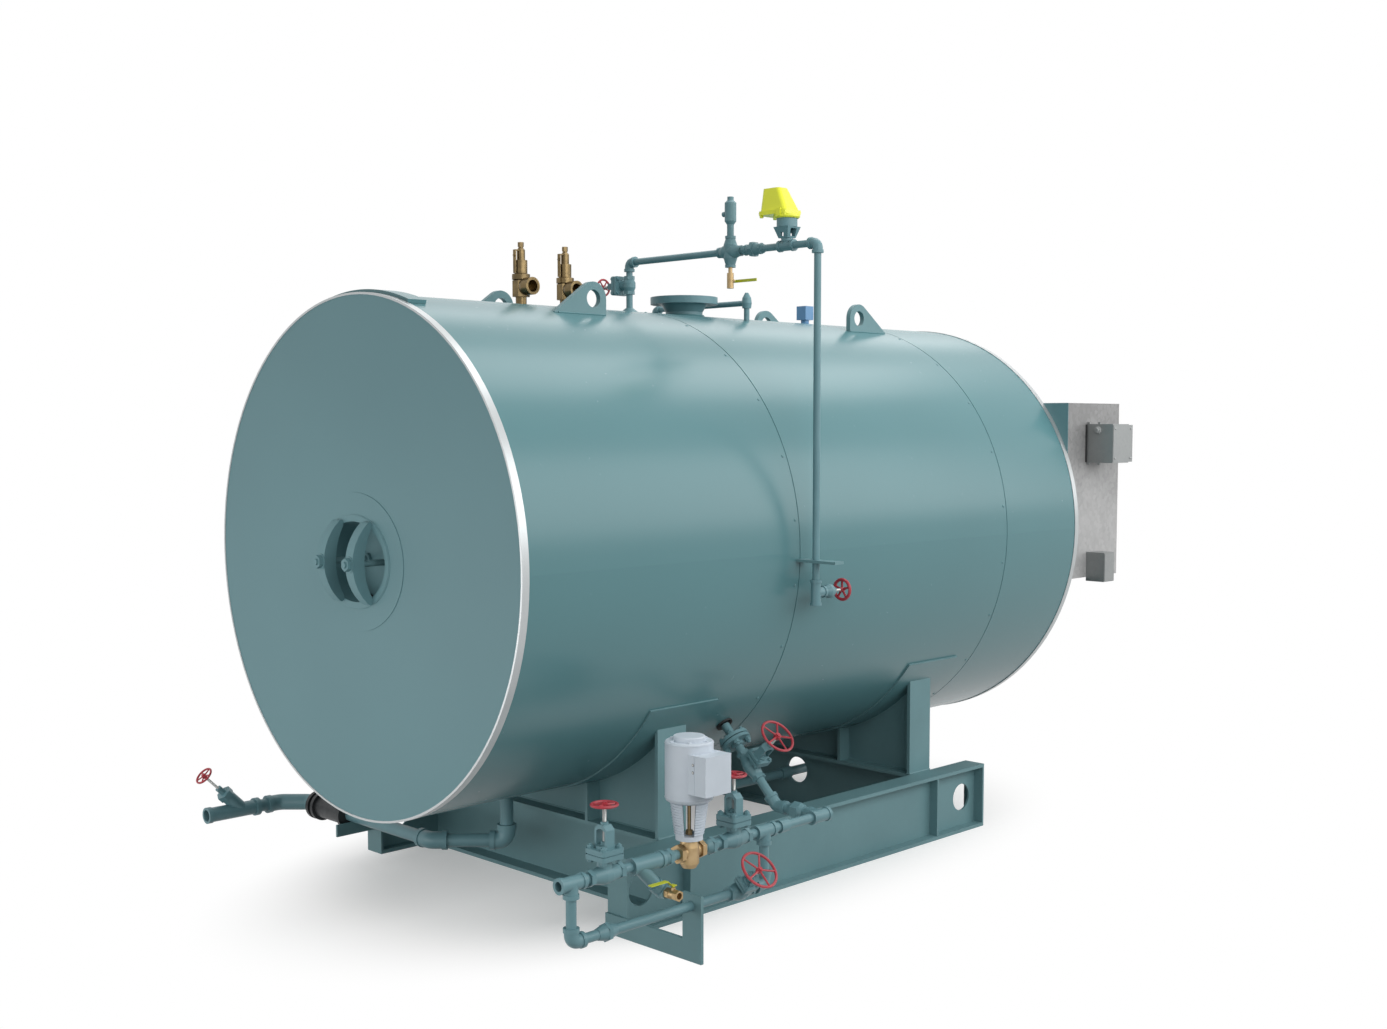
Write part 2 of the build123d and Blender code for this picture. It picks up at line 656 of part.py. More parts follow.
# Level control: a flared bracket with openings, its neck and the cover with the sloping side
flare_height = 33
flare_low = 36
flare_high = 58
flare_window = 26
flare_slot = 14
flare_sill = 5
neck_radius = 31
neck_height = 25
neck_foot_z = level_z + level_branch
flare_top_z = neck_foot_z + flare_height
neck_top_z = flare_top_z + neck_height
with BuildPart() as level_neck:
    with BuildSketch(Plane.XY.offset(neck_foot_z)) as flare_base:
        with Locations((tee_x, level_y)):
            Rectangle(flare_low, flare_low)
    with BuildSketch(Plane.XY.offset(flare_top_z)) as flare_rim:
        with Locations((tee_x, level_y)):
            Rectangle(flare_high, flare_high)
    loft([flare_base.sketch, flare_rim.sketch])
    block((tee_x - flare_high, level_y - flare_window / 2, neck_foot_z + flare_sill),
          (tee_x + flare_high, level_y + flare_window / 2, flare_top_z - flare_sill), mode=Mode.SUBTRACT)
    block((tee_x - flare_slot / 2, level_y - flare_high, neck_foot_z + flare_sill),
          (tee_x + flare_slot / 2, level_y + flare_high, neck_foot_z + flare_height / 2), mode=Mode.SUBTRACT)
    rod((tee_x, level_y, neck_foot_z), (tee_x, level_y, flare_top_z), small_pipe)
    rod((tee_x, level_y, flare_top_z), (tee_x, level_y, neck_top_z), neck_radius)
level_neck.part.label = "level_neck"
export_step(level_neck.part, "parts/level_neck.step")

cover_shift = 29
cover_collar = 39
cover_collar_height = 12
cover_rim_height = 12
cover_length = 110
cover_width = 78
cover_lip = 4
cover_corner = 12
cover_rise = 68
cover_top_length = 66
cover_top_width = 46
cover_low_x = tee_x - cover_shift - cover_length / 2
rim_low_z = neck_top_z + cover_collar_height
rim_high_z = rim_low_z + cover_rim_height
with BuildPart() as level_cover:
    turned((tee_x, level_y, neck_top_z), Z,
           [(0, 0), (cover_collar - cover_lip, 0), (cover_collar, cover_lip),
            (cover_collar, cover_collar_height), (0, cover_collar_height)])
    with BuildSketch(Plane.XY.offset(rim_low_z)) as cover_rim:
        with Locations((cover_low_x + cover_length / 2, level_y)):
            RectangleRounded(cover_length, cover_width, cover_corner)
    extrude(cover_rim.sketch, amount=cover_rim_height)
    with BuildSketch(Plane.XY.offset(rim_high_z)) as cover_low:
        with Locations((cover_low_x + cover_length / 2, level_y)):
            RectangleRounded(cover_length - 2 * cover_lip, cover_width - 2 * cover_lip, cover_corner)
    with BuildSketch(Plane.XY.offset(rim_high_z + cover_rise)) as cover_high:
        with Locations((cover_low_x + cover_lip + cover_top_length / 2, level_y)):
            RectangleRounded(cover_top_length, cover_top_width, cover_corner)
    loft([cover_low.sketch, cover_high.sketch])
level_cover.part.label = "level_cover"
export_step(level_cover.part, "parts/level_cover.step")

# Drop pipe down the side of the jacket, with its tee and side valve
gauge_drop = 116
gauge_reach = 38
gauge_z = axis_height - gauge_drop
# Side valve on the tee, with its own small wheel
side_valve_length = 46
side_stem = 3.5
side_wheel_radius = 35
side_wheel_reach = 122
with BuildPart() as drop_pipe:
    rod((level_run, level_y, level_z - small_reach), (level_run, level_y, gauge_z), small_pipe)
    tee((level_run, level_y, gauge_z), Z, Y, gauge_reach, gauge_reach, small_fitting, small_band,
        small_band_width)
    side_foot = Vector(level_run, level_y + gauge_reach, gauge_z)
    turned(side_foot, Y,
           [(0, 0), (small_pipe, 0), (small_band * nut_ratio, small_band),
            (small_band * nut_ratio, small_band * boss_ratio),
            (small_pipe, side_valve_length), (0, side_valve_length)])
    rod(side_foot + Y * small_pipe, side_foot + Y * (side_valve_length + overrun), side_stem + seat_gap,
        mode=Mode.SUBTRACT)
drop_pipe.part.label = "drop_pipe"
export_step(drop_pipe.part, "parts/drop_pipe.step")

# Low header across the crown, with a cock on a boss
header_y = 760
header_rise = 44
header_end = 150
header_start = -300
header_pipe = 9.6
header_reach = 25
header_z = crown_z + header_rise
with BuildPart() as low_header:
    elbow((header_start, header_y, header_z), X, -Z, header_reach, header_pipe * fitting_ratio,
          header_pipe * boss_ratio, small_band_width)
    pipe((header_start, header_y, header_z), (header_end, header_y, header_z), header_pipe,
         header_reach - small_band_width)
    header_foot_z = surface_z(header_start) - overrun
    rod((header_start, header_y, header_z - header_reach), (header_start, header_y, header_foot_z), header_pipe)
    rod((header_end, header_y, surface_z(header_end) - overrun), (header_end, header_y, header_z), header_pipe)
    turned((header_end, header_y, header_z), Z,
           [(0, -small_band), (small_fitting, -small_band), (small_band, 0), (small_fitting, small_band),
            (header_pipe * 0.6, 2 * small_band), (0, 2 * small_band)])
    clear_jacket()
low_header.part.label = "low_header"
export_step(low_header.part, "parts/low_header.step")

# Pressure switch: a small box on a stub
switch_y = 1237
switch_rise = 16
switch_height = 50
switch_width = 44
switch_stub = 15
with BuildPart() as pressure_switch:
    rod((0, switch_y, crown_z - switch_stub), (0, switch_y, crown_z + switch_rise), switch_stub)
    clear_jacket()
    block((-switch_width / 2, switch_y - switch_width / 2, crown_z + switch_rise),
          (switch_width / 2, switch_y + switch_width / 2, crown_z + switch_rise + switch_height))
pressure_switch.part.label = "pressure_switch"
export_step(pressure_switch.part, "parts/pressure_switch.step")

# Rear enclosure over the heating elements, with its two side boxes
enclosure_half_width = 700
enclosure_depth = 370
enclosure_below = 196
enclosure_above = 461
junction_set = 135
junction_rise = 238
junction_size = (110, 116, 145)
lower_set = 147
lower_drop = 210
lower_size = (76, 73, 110)
enclosure_y = rear_y + trim_thickness
with BuildPart() as element_enclosure:
    block((-enclosure_half_width, enclosure_y, axis_height - enclosure_below),
          (enclosure_half_width, rear_y + enclosure_depth, axis_height + enclosure_above))
element_enclosure.part.label = "element_enclosure"
export_step(element_enclosure.part, "parts/element_enclosure.step")

with BuildPart() as side_boxes:
    for box_set, box_rise, size in ((junction_set, junction_rise, junction_size),
                                    (lower_set, -lower_drop, lower_size)):
        corner = Vector(enclosure_half_width, rear_y + box_set, axis_height + box_rise)
        block(corner, corner + Vector(*size))
side_boxes.part.label = "side_boxes"
export_step(side_boxes.part, "parts/side_boxes.step")

# Feed train, of three-quarter-inch pipe, along Y beside the skid
feed_pipe = 13.5
feed_fitting = 18.5
feed_band = 21
feed_band_width = 11
feed_reach = 38
feed_inside = feed_reach - feed_band_width
feed_bore = 12.5
feed_open = -731
feed_branch = -690
bypass_drop = 150
inlet_valve_y = -578
outlet_valve_y = -104
feed_valve_reach = 58
feed_flange = 72
feed_neck = 41
feed_plate = 14
feed_yoke_height = 60
feed_yoke_width = 45
feed_yoke_depth = 28
feed_arm = 7
feed_stem = 5
feed_wheel_radius = 37
feed_wheel_reach = 179
control_y = -276
control_half = 46
strainer_front = -489
strainer_rear = -377
strainer_branch = -465
tail_tee = 20
bypass_valve_y = -80
bypass_z = feed_z - bypass_drop

with BuildPart() as feed_inlet:
    rod((feed_x, feed_open, feed_z), (feed_x, inlet_valve_y - feed_valve_reach, feed_z), feed_pipe)
    tee((feed_x, feed_branch, feed_z), Y, -Z, feed_branch - feed_open, feed_reach, feed_fitting, feed_band,
        feed_band_width)
    rod((feed_x, feed_branch, feed_z), (feed_x, feed_branch, bypass_z + feed_reach), feed_pipe)
    rod((feed_x, feed_open - overrun, feed_z), (feed_x, feed_branch, feed_z), feed_bore, mode=Mode.SUBTRACT)
feed_inlet.part.label = "feed_inlet"
export_step(feed_inlet.part, "parts/feed_inlet.step")

with BuildPart() as feed_valves:
    for valve_y in (inlet_valve_y, outlet_valve_y):
        valve_body((feed_x, valve_y, feed_z), Y, Z, feed_valve_reach, feed_fitting, feed_neck, feed_flange,
                   feed_plate, feed_yoke_height, feed_yoke_width, feed_yoke_depth, feed_arm, feed_stem)
feed_valves.part.label = "feed_valves"
export_step(feed_valves.part, "parts/feed_valves.step")

# Strainer with its slanting leg, elbow and brass blow-off valve
leg_drop = 85
strainer_body = 20.5
blow_length = 46
blow_barrel = 15
blow_bore = 9
leg_end = Vector(feed_x, strainer_branch + leg_drop, feed_z - leg_drop)
blow_start = feed_x + feed_fitting * nut_ratio
with BuildPart() as strainer:
    rod((feed_x, inlet_valve_y + feed_valve_reach, feed_z), (feed_x, strainer_front, feed_z), feed_pipe)
    rod((feed_x, strainer_front, feed_z), (feed_x, strainer_rear, feed_z), strainer_body)
    for band_y in (strainer_front, strainer_rear - feed_band_width):
        rod((feed_x, band_y, feed_z), (feed_x, band_y + feed_band_width, feed_z), feed_band * union_ratio)
    leg_way = Vector(0, 1, -1).normalized()
    rod((feed_x, strainer_branch, feed_z), leg_end, feed_fitting)
    rod(leg_end - leg_way * 2 * feed_fitting, leg_end - leg_way * feed_fitting, feed_band)
    with BuildPart(mode=Mode.PRIVATE) as knuckle:
        with Locations(leg_end):
            Sphere(feed_fitting * bonnet_ratio)
    add(knuckle.part)
    rod(leg_end, (blow_start, leg_end.Y, leg_end.Z), feed_fitting * 0.95)
    rod((feed_x, strainer_rear, feed_z), (feed_x, control_y - control_half, feed_z), feed_pipe)
    union((feed_x, strainer_rear + feed_band, feed_z), Y, 2 * feed_band, feed_pipe * union_ratio,
          feed_band * union_ratio, feed_band_width)
strainer.part.label = "strainer"
export_step(strainer.part, "parts/strainer.step")

with BuildPart() as ball_valves:
    rod((cross_x, level_y, level_z - cross_reach), (cross_x, level_y, drain_top), drain_stub_radius)
    rod((cross_x, level_y, drain_top), (cross_x, level_y, drain_top - drain_length), drain_body)
    rod((cross_x, level_y, drain_middle), (cross_x, level_y + drain_body + lever_stem, drain_middle),
        lever_stem * boss_ratio)
    rod((cross_x, level_y, drain_middle - lever_stem),
        (cross_x, level_y, drain_top - drain_length - overrun), drain_bore, mode=Mode.SUBTRACT)
    blow_end = blow_start + blow_length
    rod((blow_start, leg_end.Y, leg_end.Z), (blow_end, leg_end.Y, leg_end.Z), blow_barrel * 0.85)
    hex_bar((blow_start, leg_end.Y, leg_end.Z), (blow_start + blow_barrel, leg_end.Y, leg_end.Z), blow_barrel)
    hex_bar((blow_end - blow_barrel, leg_end.Y, leg_end.Z), (blow_end, leg_end.Y, leg_end.Z), blow_barrel)
    blow_middle = (blow_start + blow_end) / 2
    rod((blow_middle, leg_end.Y, leg_end.Z), (blow_middle, leg_end.Y, leg_end.Z + blow_barrel * fitting_ratio),
        lever_stem * boss_ratio)
    rod((blow_middle + lever_stem, leg_end.Y, leg_end.Z), (blow_end + overrun, leg_end.Y, leg_end.Z),
        blow_bore, mode=Mode.SUBTRACT)
ball_valves.part.label = "ball_valves"
export_step(ball_valves.part, "parts/ball_valves.step")

# Its lever: a strip that rises from the stem to a level handle
blow_lever_length = 83
blow_lever_width = 14
blow_lever_bend = 23
blow_lever_step = 15
blow_stem_height = 6
with BuildPart() as blow_lever:
    stem_low = leg_end.Z + blow_barrel * fitting_ratio + seat_gap
    stem_high = stem_low + blow_stem_height
    rod((blow_middle, leg_end.Y, stem_low), (blow_middle, leg_end.Y, stem_high), lever_stem)
    with BuildSketch(side_plane(blow_middle - blow_lever_width / 2, leg_end.Y, stem_high)) as strip:
        with BuildLine():
            Polyline((blow_lever_width / 2, 0), (-blow_lever_width / 2, 0), (-blow_lever_bend, blow_lever_step),
                     (-blow_lever_length, blow_lever_step),
                     (-blow_lever_length, blow_lever_step - lever_thickness),
                     (-blow_lever_bend + lever_thickness / 2, blow_lever_step - lever_thickness),
                     (-blow_lever_width / 2 + lever_thickness / 2, -lever_thickness),
                     (blow_lever_width / 2, -lever_thickness), close=True)
        make_face()
    extrude(strip.sketch, amount=blow_lever_width)
blow_lever.part.label = "blow_lever"
export_step(blow_lever.part, "parts/blow_lever.step")

# Control valve: brass body, ribbed yoke and the actuator
control_body = 27
control_top = 34
control_bottom = 43
control_nut = 26
control_nut_width = 15
actuator_rise = 135
actuator_height = 165
actuator_radius = 65
actuator_cap = 44
actuator_cap_height = 13
actuator_lip = 3
box_reach = 108
box_half_width = 48
box_rise = 34
box_height = 105
yoke_low_radius = 37
yoke_high_radius = 49
yoke_wall = 12
rib_count = 12
rib_depth = 3.5
window_low = 13
window_high = 18
yoke_low_z = feed_z + control_top
actuator_low = feed_z + actuator_rise
with BuildPart() as control_valve:
    rod((feed_x, control_y - control_half, feed_z), (feed_x, control_y + control_half, feed_z), feed_fitting)
    for way in (-1, 1):
        hex_bar((feed_x, control_y + way * (control_half - control_nut_width), feed_z),
                (feed_x, control_y + way * control_half, feed_z), control_nut)
    turned((feed_x, control_y, feed_z), Z,
           [(0, -control_bottom), (control_body * 0.7, -control_bottom), (control_body, -control_bottom * 0.7),
            (control_body, control_top * 0.4), (control_body * 0.8, control_top), (0, control_top)])
    rod((feed_x, control_y, feed_z + control_top), (feed_x, control_y, actuator_low), feed_stem)
    hex_bar((feed_x, control_y, yoke_low_z + yoke_wall), (feed_x, control_y, yoke_low_z + 2 * yoke_wall),
            2 * feed_stem)
control_valve.part.label = "control_valve"
export_step(control_valve.part, "parts/control_valve.step")

with BuildPart() as actuator_yoke:
    yoke_outline = [(yoke_low_radius - yoke_wall, yoke_low_z), (yoke_low_radius, yoke_low_z),
                    (yoke_low_radius, yoke_low_z + yoke_wall)]
    rib_pitch = (actuator_low - yoke_low_z - yoke_wall) / rib_count
    rib_lean = (yoke_high_radius - yoke_low_radius) / rib_count
    for index in range(rib_count):
        rib_z = yoke_low_z + yoke_wall + index * rib_pitch
        rib_radius = yoke_low_radius + index * rib_lean
        yoke_outline += [(rib_radius, rib_z + rib_pitch * 0.5),
                         (rib_radius + rib_depth, rib_z + rib_pitch * 0.6),
                         (rib_radius + rib_depth, rib_z + rib_pitch * 0.9),
                         (rib_radius + rib_lean, rib_z + rib_pitch)]
    yoke_outline.append((yoke_high_radius - yoke_wall, actuator_low))
    turned((feed_x, control_y, 0), Z, yoke_outline)
    turned((feed_x, control_y, yoke_low_z), Z,
           [(feed_stem + seat_gap, 0), (yoke_low_radius - yoke_wall / 2, 0),
            (yoke_low_radius - yoke_wall / 2, yoke_wall), (feed_stem + seat_gap, yoke_wall)])
    window_plane = Plane(origin=(feed_x, control_y, yoke_low_z), x_dir=(1, 1, 0), z_dir=(1, -1, 0))
    window_top = actuator_low - yoke_low_z
    with BuildSketch(window_plane) as window:
        with BuildLine():
            Polyline((-window_low, yoke_wall), (window_low, yoke_wall), (window_high, window_top),
                     (-window_high, window_top), close=True)
        make_face()
    extrude(window.sketch, amount=2 * yoke_high_radius, both=True, mode=Mode.SUBTRACT)
actuator_yoke.part.label = "actuator_yoke"
export_step(actuator_yoke.part, "parts/actuator_yoke.step")

with BuildPart() as actuator_housing:
    turned((feed_x, control_y, actuator_low), Z,
           [(0, 0), (yoke_high_radius, 0), (actuator_radius - actuator_lip, 2 * actuator_lip),
            (actuator_radius, 4 * actuator_lip), (actuator_radius, actuator_height - actuator_lip),
            (actuator_radius - actuator_lip, actuator_height), (actuator_cap, actuator_height),
            (actuator_cap, actuator_height + actuator_cap_height - actuator_lip),
            (actuator_cap - actuator_lip, actuator_height + actuator_cap_height),
            (0, actuator_height + actuator_cap_height)])
    block((feed_x, control_y - box_half_width, actuator_low + box_rise),
          (feed_x + box_reach, control_y + box_half_width, actuator_low + box_rise + box_height))
actuator_housing.part.label = "actuator_housing"
export_step(actuator_housing.part, "parts/actuator_housing.step")

# Pipe between the control valve and the outlet valve, with its union
with BuildPart() as control_union:
    control_rear = control_y + control_half
    valve_front = outlet_valve_y - feed_valve_reach
    rod((feed_x, control_rear, feed_z), (feed_x, valve_front, feed_z), feed_pipe)
    union((feed_x, (control_rear + valve_front) / 2, feed_z), Y, 2 * feed_band, feed_pipe * union_ratio,
          feed_band * nut_ratio, feed_band_width)
control_union.part.label = "control_union"
export_step(control_union.part, "parts/control_union.step")

# Bypass under the train: front part, globe valve and rear part
bypass_reach = 46
bypass_neck = 30
bypass_flange = 52
bypass_plate = 8
bypass_yoke_height = 36
bypass_yoke_width = 34
bypass_yoke_depth = 20
bypass_wheel_radius = 58
bypass_wheel_reach = 105
bypass_union_y = -574
with BuildPart() as bypass_pipe:
    elbow((feed_x, feed_branch, bypass_z), Z, Y, feed_reach, feed_fitting, feed_band, feed_band_width)
    pipe((feed_x, feed_branch, bypass_z), (feed_x, bypass_valve_y, bypass_z), feed_pipe, feed_inside,
         bypass_reach)
    union((feed_x, bypass_union_y, bypass_z), Y, 3 * feed_band, feed_pipe * union_ratio,
          feed_band * nut_ratio, feed_band_width)
bypass_pipe.part.label = "bypass_pipe"
export_step(bypass_pipe.part, "parts/bypass_pipe.step")

with BuildPart() as bypass_valve:
    valve_body((feed_x, bypass_valve_y, bypass_z), Y, slant, bypass_reach, feed_fitting, bypass_neck,
               bypass_flange, bypass_plate, bypass_yoke_height, bypass_yoke_width, bypass_yoke_depth,
               small_arm, small_stem)
bypass_valve.part.label = "bypass_valve"
export_step(bypass_valve.part, "parts/bypass_valve.step")

# Riser at 45 degrees from the tail to its pocket in the jacket
riser_valve_at = 148
riser_flange_at = 243
riser_flange_radius = 48
riser_flange_plate = 10
riser_flange_gap = 3
riser_reach = 50
riser_neck = 34
riser_flange_square = 58
riser_plate = 10
riser_yoke_height = 50
riser_yoke_width = 40
riser_yoke_depth = 24
riser_wheel_radius = 57
riser_wheel_reach = 150
riser_centre = riser_foot + riser_way * riser_valve_at
with BuildPart() as riser_valve:
    valve_body(riser_centre, riser_way, slant, riser_reach, feed_fitting, riser_neck, riser_flange_square,
               riser_plate, riser_yoke_height, riser_yoke_width, riser_yoke_depth, small_arm, feed_stem)
riser_valve.part.label = "riser_valve"
export_step(riser_valve.part, "parts/riser_valve.step")

with BuildPart() as riser_pipe_high:
    flange_middle = riser_foot + riser_way * riser_flange_at
    rod(riser_centre + riser_way * riser_reach, riser_pocket, feed_pipe)
    for way in (-1, 1):
        face = flange_middle + riser_way * (way * riser_flange_gap / 2)
        back = face + riser_way * (way * riser_flange_plate)
        rod(face, back, riser_flange_radius)
        rod(back, back + riser_way * (way * riser_flange_plate), feed_band)
riser_pipe_high.part.label = "riser_pipe_high"
export_step(riser_pipe_high.part, "parts/riser_pipe_high.step")

# Tail of the train: tee with the bypass's return, coupling, corner and the run to the riser
tail_coupling = 34
tail_plug = 9
cross_union_radius = 27
cross_union_width = 27
with BuildPart() as feed_tail:
    rod((feed_x, outlet_valve_y + feed_valve_reach, feed_z), (feed_x, tail_corner, feed_z), feed_pipe)
    tee((feed_x, tail_tee, feed_z), Y, -Z, feed_reach, feed_reach, feed_fitting, feed_band, feed_band_width)
    coupling_y = tail_tee + feed_reach + 2 * feed_band_width
    rod((feed_x, coupling_y, feed_z), (feed_x, coupling_y + tail_coupling, feed_z), feed_fitting)
    tee((feed_x, tail_corner, feed_z), Y, -X, feed_reach, feed_reach, feed_fitting, feed_band, feed_band_width)
    tail_end = tail_corner + feed_reach
    hex_bar((feed_x, tail_end, feed_z), (feed_x, tail_end + tail_plug, feed_z), feed_pipe * 0.7)
    pipe((feed_x, tail_corner, feed_z), riser_foot, feed_pipe, feed_inside, feed_inside)
    union(((feed_x + riser_corner_x) / 2, tail_corner, feed_z), X, 2 * cross_union_width, feed_fitting,
          cross_union_radius, cross_union_width)
    elbow(riser_foot, X, riser_way, feed_reach, feed_fitting, feed_band, feed_band_width)
    pipe(riser_foot, riser_centre, feed_pipe, feed_inside, riser_reach)
    pipe((feed_x, tail_tee, feed_z), (feed_x, tail_tee, bypass_z), feed_pipe, 0, feed_inside)
    elbow((feed_x, tail_tee, bypass_z), Z, -Y, feed_reach, feed_fitting, feed_band, feed_band_width)
    pipe((feed_x, tail_tee, bypass_z), (feed_x, bypass_valve_y, bypass_z), feed_pipe, feed_inside, bypass_reach)
feed_tail.part.label = "feed_tail"
export_step(feed_tail.part, "parts/feed_tail.step")

# Bracket that carries the bypass pipe, welded to the front end plate of the right beam
bracket_thickness = 10
bracket_rail = 58
bracket_leg = 70
bracket_margin = 38
bracket_rise = 33
bracket_outer = feed_x + bracket_margin
bracket_top = bypass_z + bracket_rise
with BuildPart() as train_bracket:
    with BuildSketch(front_plane(beam_front, 0)):
        with BuildLine():
            Polyline((beam_inner, 0), (bracket_outer, 0), (bracket_outer, bracket_top),
                     (bracket_outer - bracket_leg, bracket_top), (bracket_outer - bracket_leg, bracket_rail),
                     (beam_inner, bracket_rail), close=True)
        make_face()
        with Locations((feed_x, bypass_z)):
            Circle(feed_pipe + seat_gap, mode=Mode.SUBTRACT)
    extrude(amount=bracket_thickness)
train_bracket.part.label = "train_bracket"
export_step(train_bracket.part, "parts/train_bracket.step")

# Blowdown line from the belly, to the left and then to the front
blow_pipe = 21
blow_fitting = 27
blow_band = 30
blow_band_width = 16
blow_reach = 52
blow_y = -174
blow_z = 140
blow_diagonal = 168
black_inset = 25
black_length = 204
blow_corner_reach = 46
blow_corner_cut = 74
y_valve_y = -560
y_valve_open = -690
y_valve_bore = 19
y_stem = 4
black_near = black_inset - skid_half_width
black_far = black_near - black_length
blow_corner_x = black_far - blow_corner_reach
blow_run_y = blow_y - blow_diagonal
y_body_rear = y_valve_y + 2 * blow_band
blow_inside = blow_reach - blow_band_width
turn_one = Vector(blow_corner_x, blow_run_y, blow_z)
turn_two = Vector(blow_corner_x - blow_corner_cut, blow_run_y - blow_corner_cut, blow_z)
with BuildPart() as blowdown_pipe:
    blow_corner = Vector(0, blow_y, blow_z)
    blow_turn = Vector(-blow_diagonal, blow_run_y, blow_z)
    rod(blow_corner + Z * blow_inside, (0, blow_y, axis_height), blow_pipe)
    clear_jacket()
    elbow(blow_corner, Z, blow_turn - blow_corner, blow_reach, blow_fitting, blow_band, blow_band_width)
    pipe(blow_corner, blow_turn, blow_pipe, blow_inside, blow_inside)
    elbow(blow_turn, blow_corner - blow_turn, -X, blow_reach, blow_fitting, blow_band, blow_band_width)
    pipe(blow_turn, (black_near, blow_run_y, blow_z), blow_pipe, blow_inside)
    with BuildLine() as bend_path:
        FilletPolyline((black_far, blow_run_y, blow_z), turn_one, turn_two, turn_two - Y * blow_reach,
                       radius=blow_fitting * 1.5)
    with BuildSketch(Plane(origin=(black_far, blow_run_y, blow_z), z_dir=-X)) as bend:
        Circle(blow_fitting)
    sweep(bend.sketch, path=bend_path.line)
    rod(turn_two - Y * (blow_reach - blow_band_width), turn_two - Y * blow_reach, blow_band)
    rod(turn_two - Y * blow_reach, (turn_two.X, y_body_rear, blow_z), blow_pipe)
blowdown_pipe.part.label = "blowdown_pipe"
export_step(blowdown_pipe.part, "parts/blowdown_pipe.step")

black_radius = 38
black_flange = 48
black_plate = 14
with BuildPart() as black_valve:
    rod((black_near, blow_run_y, blow_z), (black_far, blow_run_y, blow_z), black_radius)
    for place in (black_near - black_plate, black_far, black_far + 2 * black_plate):
        rod((place, blow_run_y, blow_z), (place + black_plate, blow_run_y, blow_z), black_flange)
black_valve.part.label = "black_valve"
export_step(black_valve.part, "parts/black_valve.step")

# Y valve at the end of the line: open mouth to the front, stem slanting up
y_branch = 74
y_neck = 96
y_gland = 122
y_wheel_radius = 32
y_wheel_reach = 192
y_way = Vector(0, -1, 1).normalized()
y_centre = Vector(turn_two.X, y_valve_y, blow_z)
with BuildPart() as blowdown_valve:
    rod((turn_two.X, y_body_rear, blow_z), (turn_two.X, y_valve_open, blow_z), blow_fitting * 0.9)
    rod((turn_two.X, y_body_rear, blow_z), (turn_two.X, y_body_rear - blow_band_width, blow_z), blow_band)
    rod((turn_two.X, y_valve_open, blow_z), (turn_two.X, y_valve_open + blow_band_width, blow_z), blow_fitting)
    rod(y_centre, y_centre + y_way * y_branch, blow_fitting * 0.85)
    hex_bar(y_centre + y_way * y_branch, y_centre + y_way * y_neck, blow_fitting)
    rod(y_centre + y_way * y_neck, y_centre + y_way * y_gland, small_pipe)
    rod(y_centre + y_way * y_branch, y_centre + y_way * (y_gland + overrun), y_stem + seat_gap,
        mode=Mode.SUBTRACT)
    rod((turn_two.X, y_valve_open - overrun, blow_z), (turn_two.X, y_valve_y, blow_z), y_valve_bore,
        mode=Mode.SUBTRACT)
blowdown_valve.part.label = "blowdown_valve"
export_step(blowdown_valve.part, "parts/blowdown_valve.step")

# Bars that carry the blowdown line at the left beam and the drop pipe at the jacket
support_height = 40
support_thickness = 8
support_reach = 146
bar_drop = 23
bar_length = 150
bar_width = 40
bar_thickness = 8
clip_radius = small_pipe + seat_gap
bar_z = axis_height - bar_drop
with BuildPart() as pipe_supports:
    support_top = blow_z - blow_pipe - seat_gap
    block((-beam_centre - support_thickness / 2, beam_front - support_reach, support_top - support_height),
          (-beam_centre + support_thickness / 2, beam_front, support_top))
    bar_root = sqrt(vessel_radius**2 - bar_drop**2)
    block((bar_root - bar_width, level_y - bar_width / 2, bar_z - bar_thickness / 2),
          (bar_root + bar_length, level_y + bar_width / 2, bar_z + bar_thickness / 2))
    clear_jacket()
    rod((level_run, level_y, bar_z - bar_width), (level_run, level_y, bar_z + bar_width), clip_radius,
        mode=Mode.SUBTRACT)
pipe_supports.part.label = "pipe_supports"
export_step(pipe_supports.part, "parts/pipe_supports.step")

# Drain line under the vessel, from a second belly nozzle to the rear cross beam
drain_y = 300
drain_pipe_radius = 17
drain_overhang = 90
drain_pipe_bore = 13
drain_end = saddle_spacing + drain_overhang
with BuildPart() as drain_line:
    rod((0, drain_y, drain_z + blow_inside), (0, drain_y, axis_height), drain_pipe_radius)
    clear_jacket()
    elbow((0, drain_y, drain_z), Z, Y, blow_reach, drain_pipe_radius * fitting_ratio,
          drain_pipe_radius * boss_ratio, blow_band_width)
    pipe((0, drain_y, drain_z), (0, drain_end, drain_z), drain_pipe_radius, blow_inside)
    rod((0, saddle_spacing - 2 * blow_reach, drain_z), (0, saddle_spacing - blow_reach, drain_z),
        drain_pipe_radius * barrel_ratio)
    rod((0, drain_end - drain_overhang / 2, drain_z), (0, drain_end + overrun, drain_z), drain_pipe_bore,
        mode=Mode.SUBTRACT)
drain_line.part.label = "drain_line"
export_step(drain_line.part, "parts/drain_line.step")

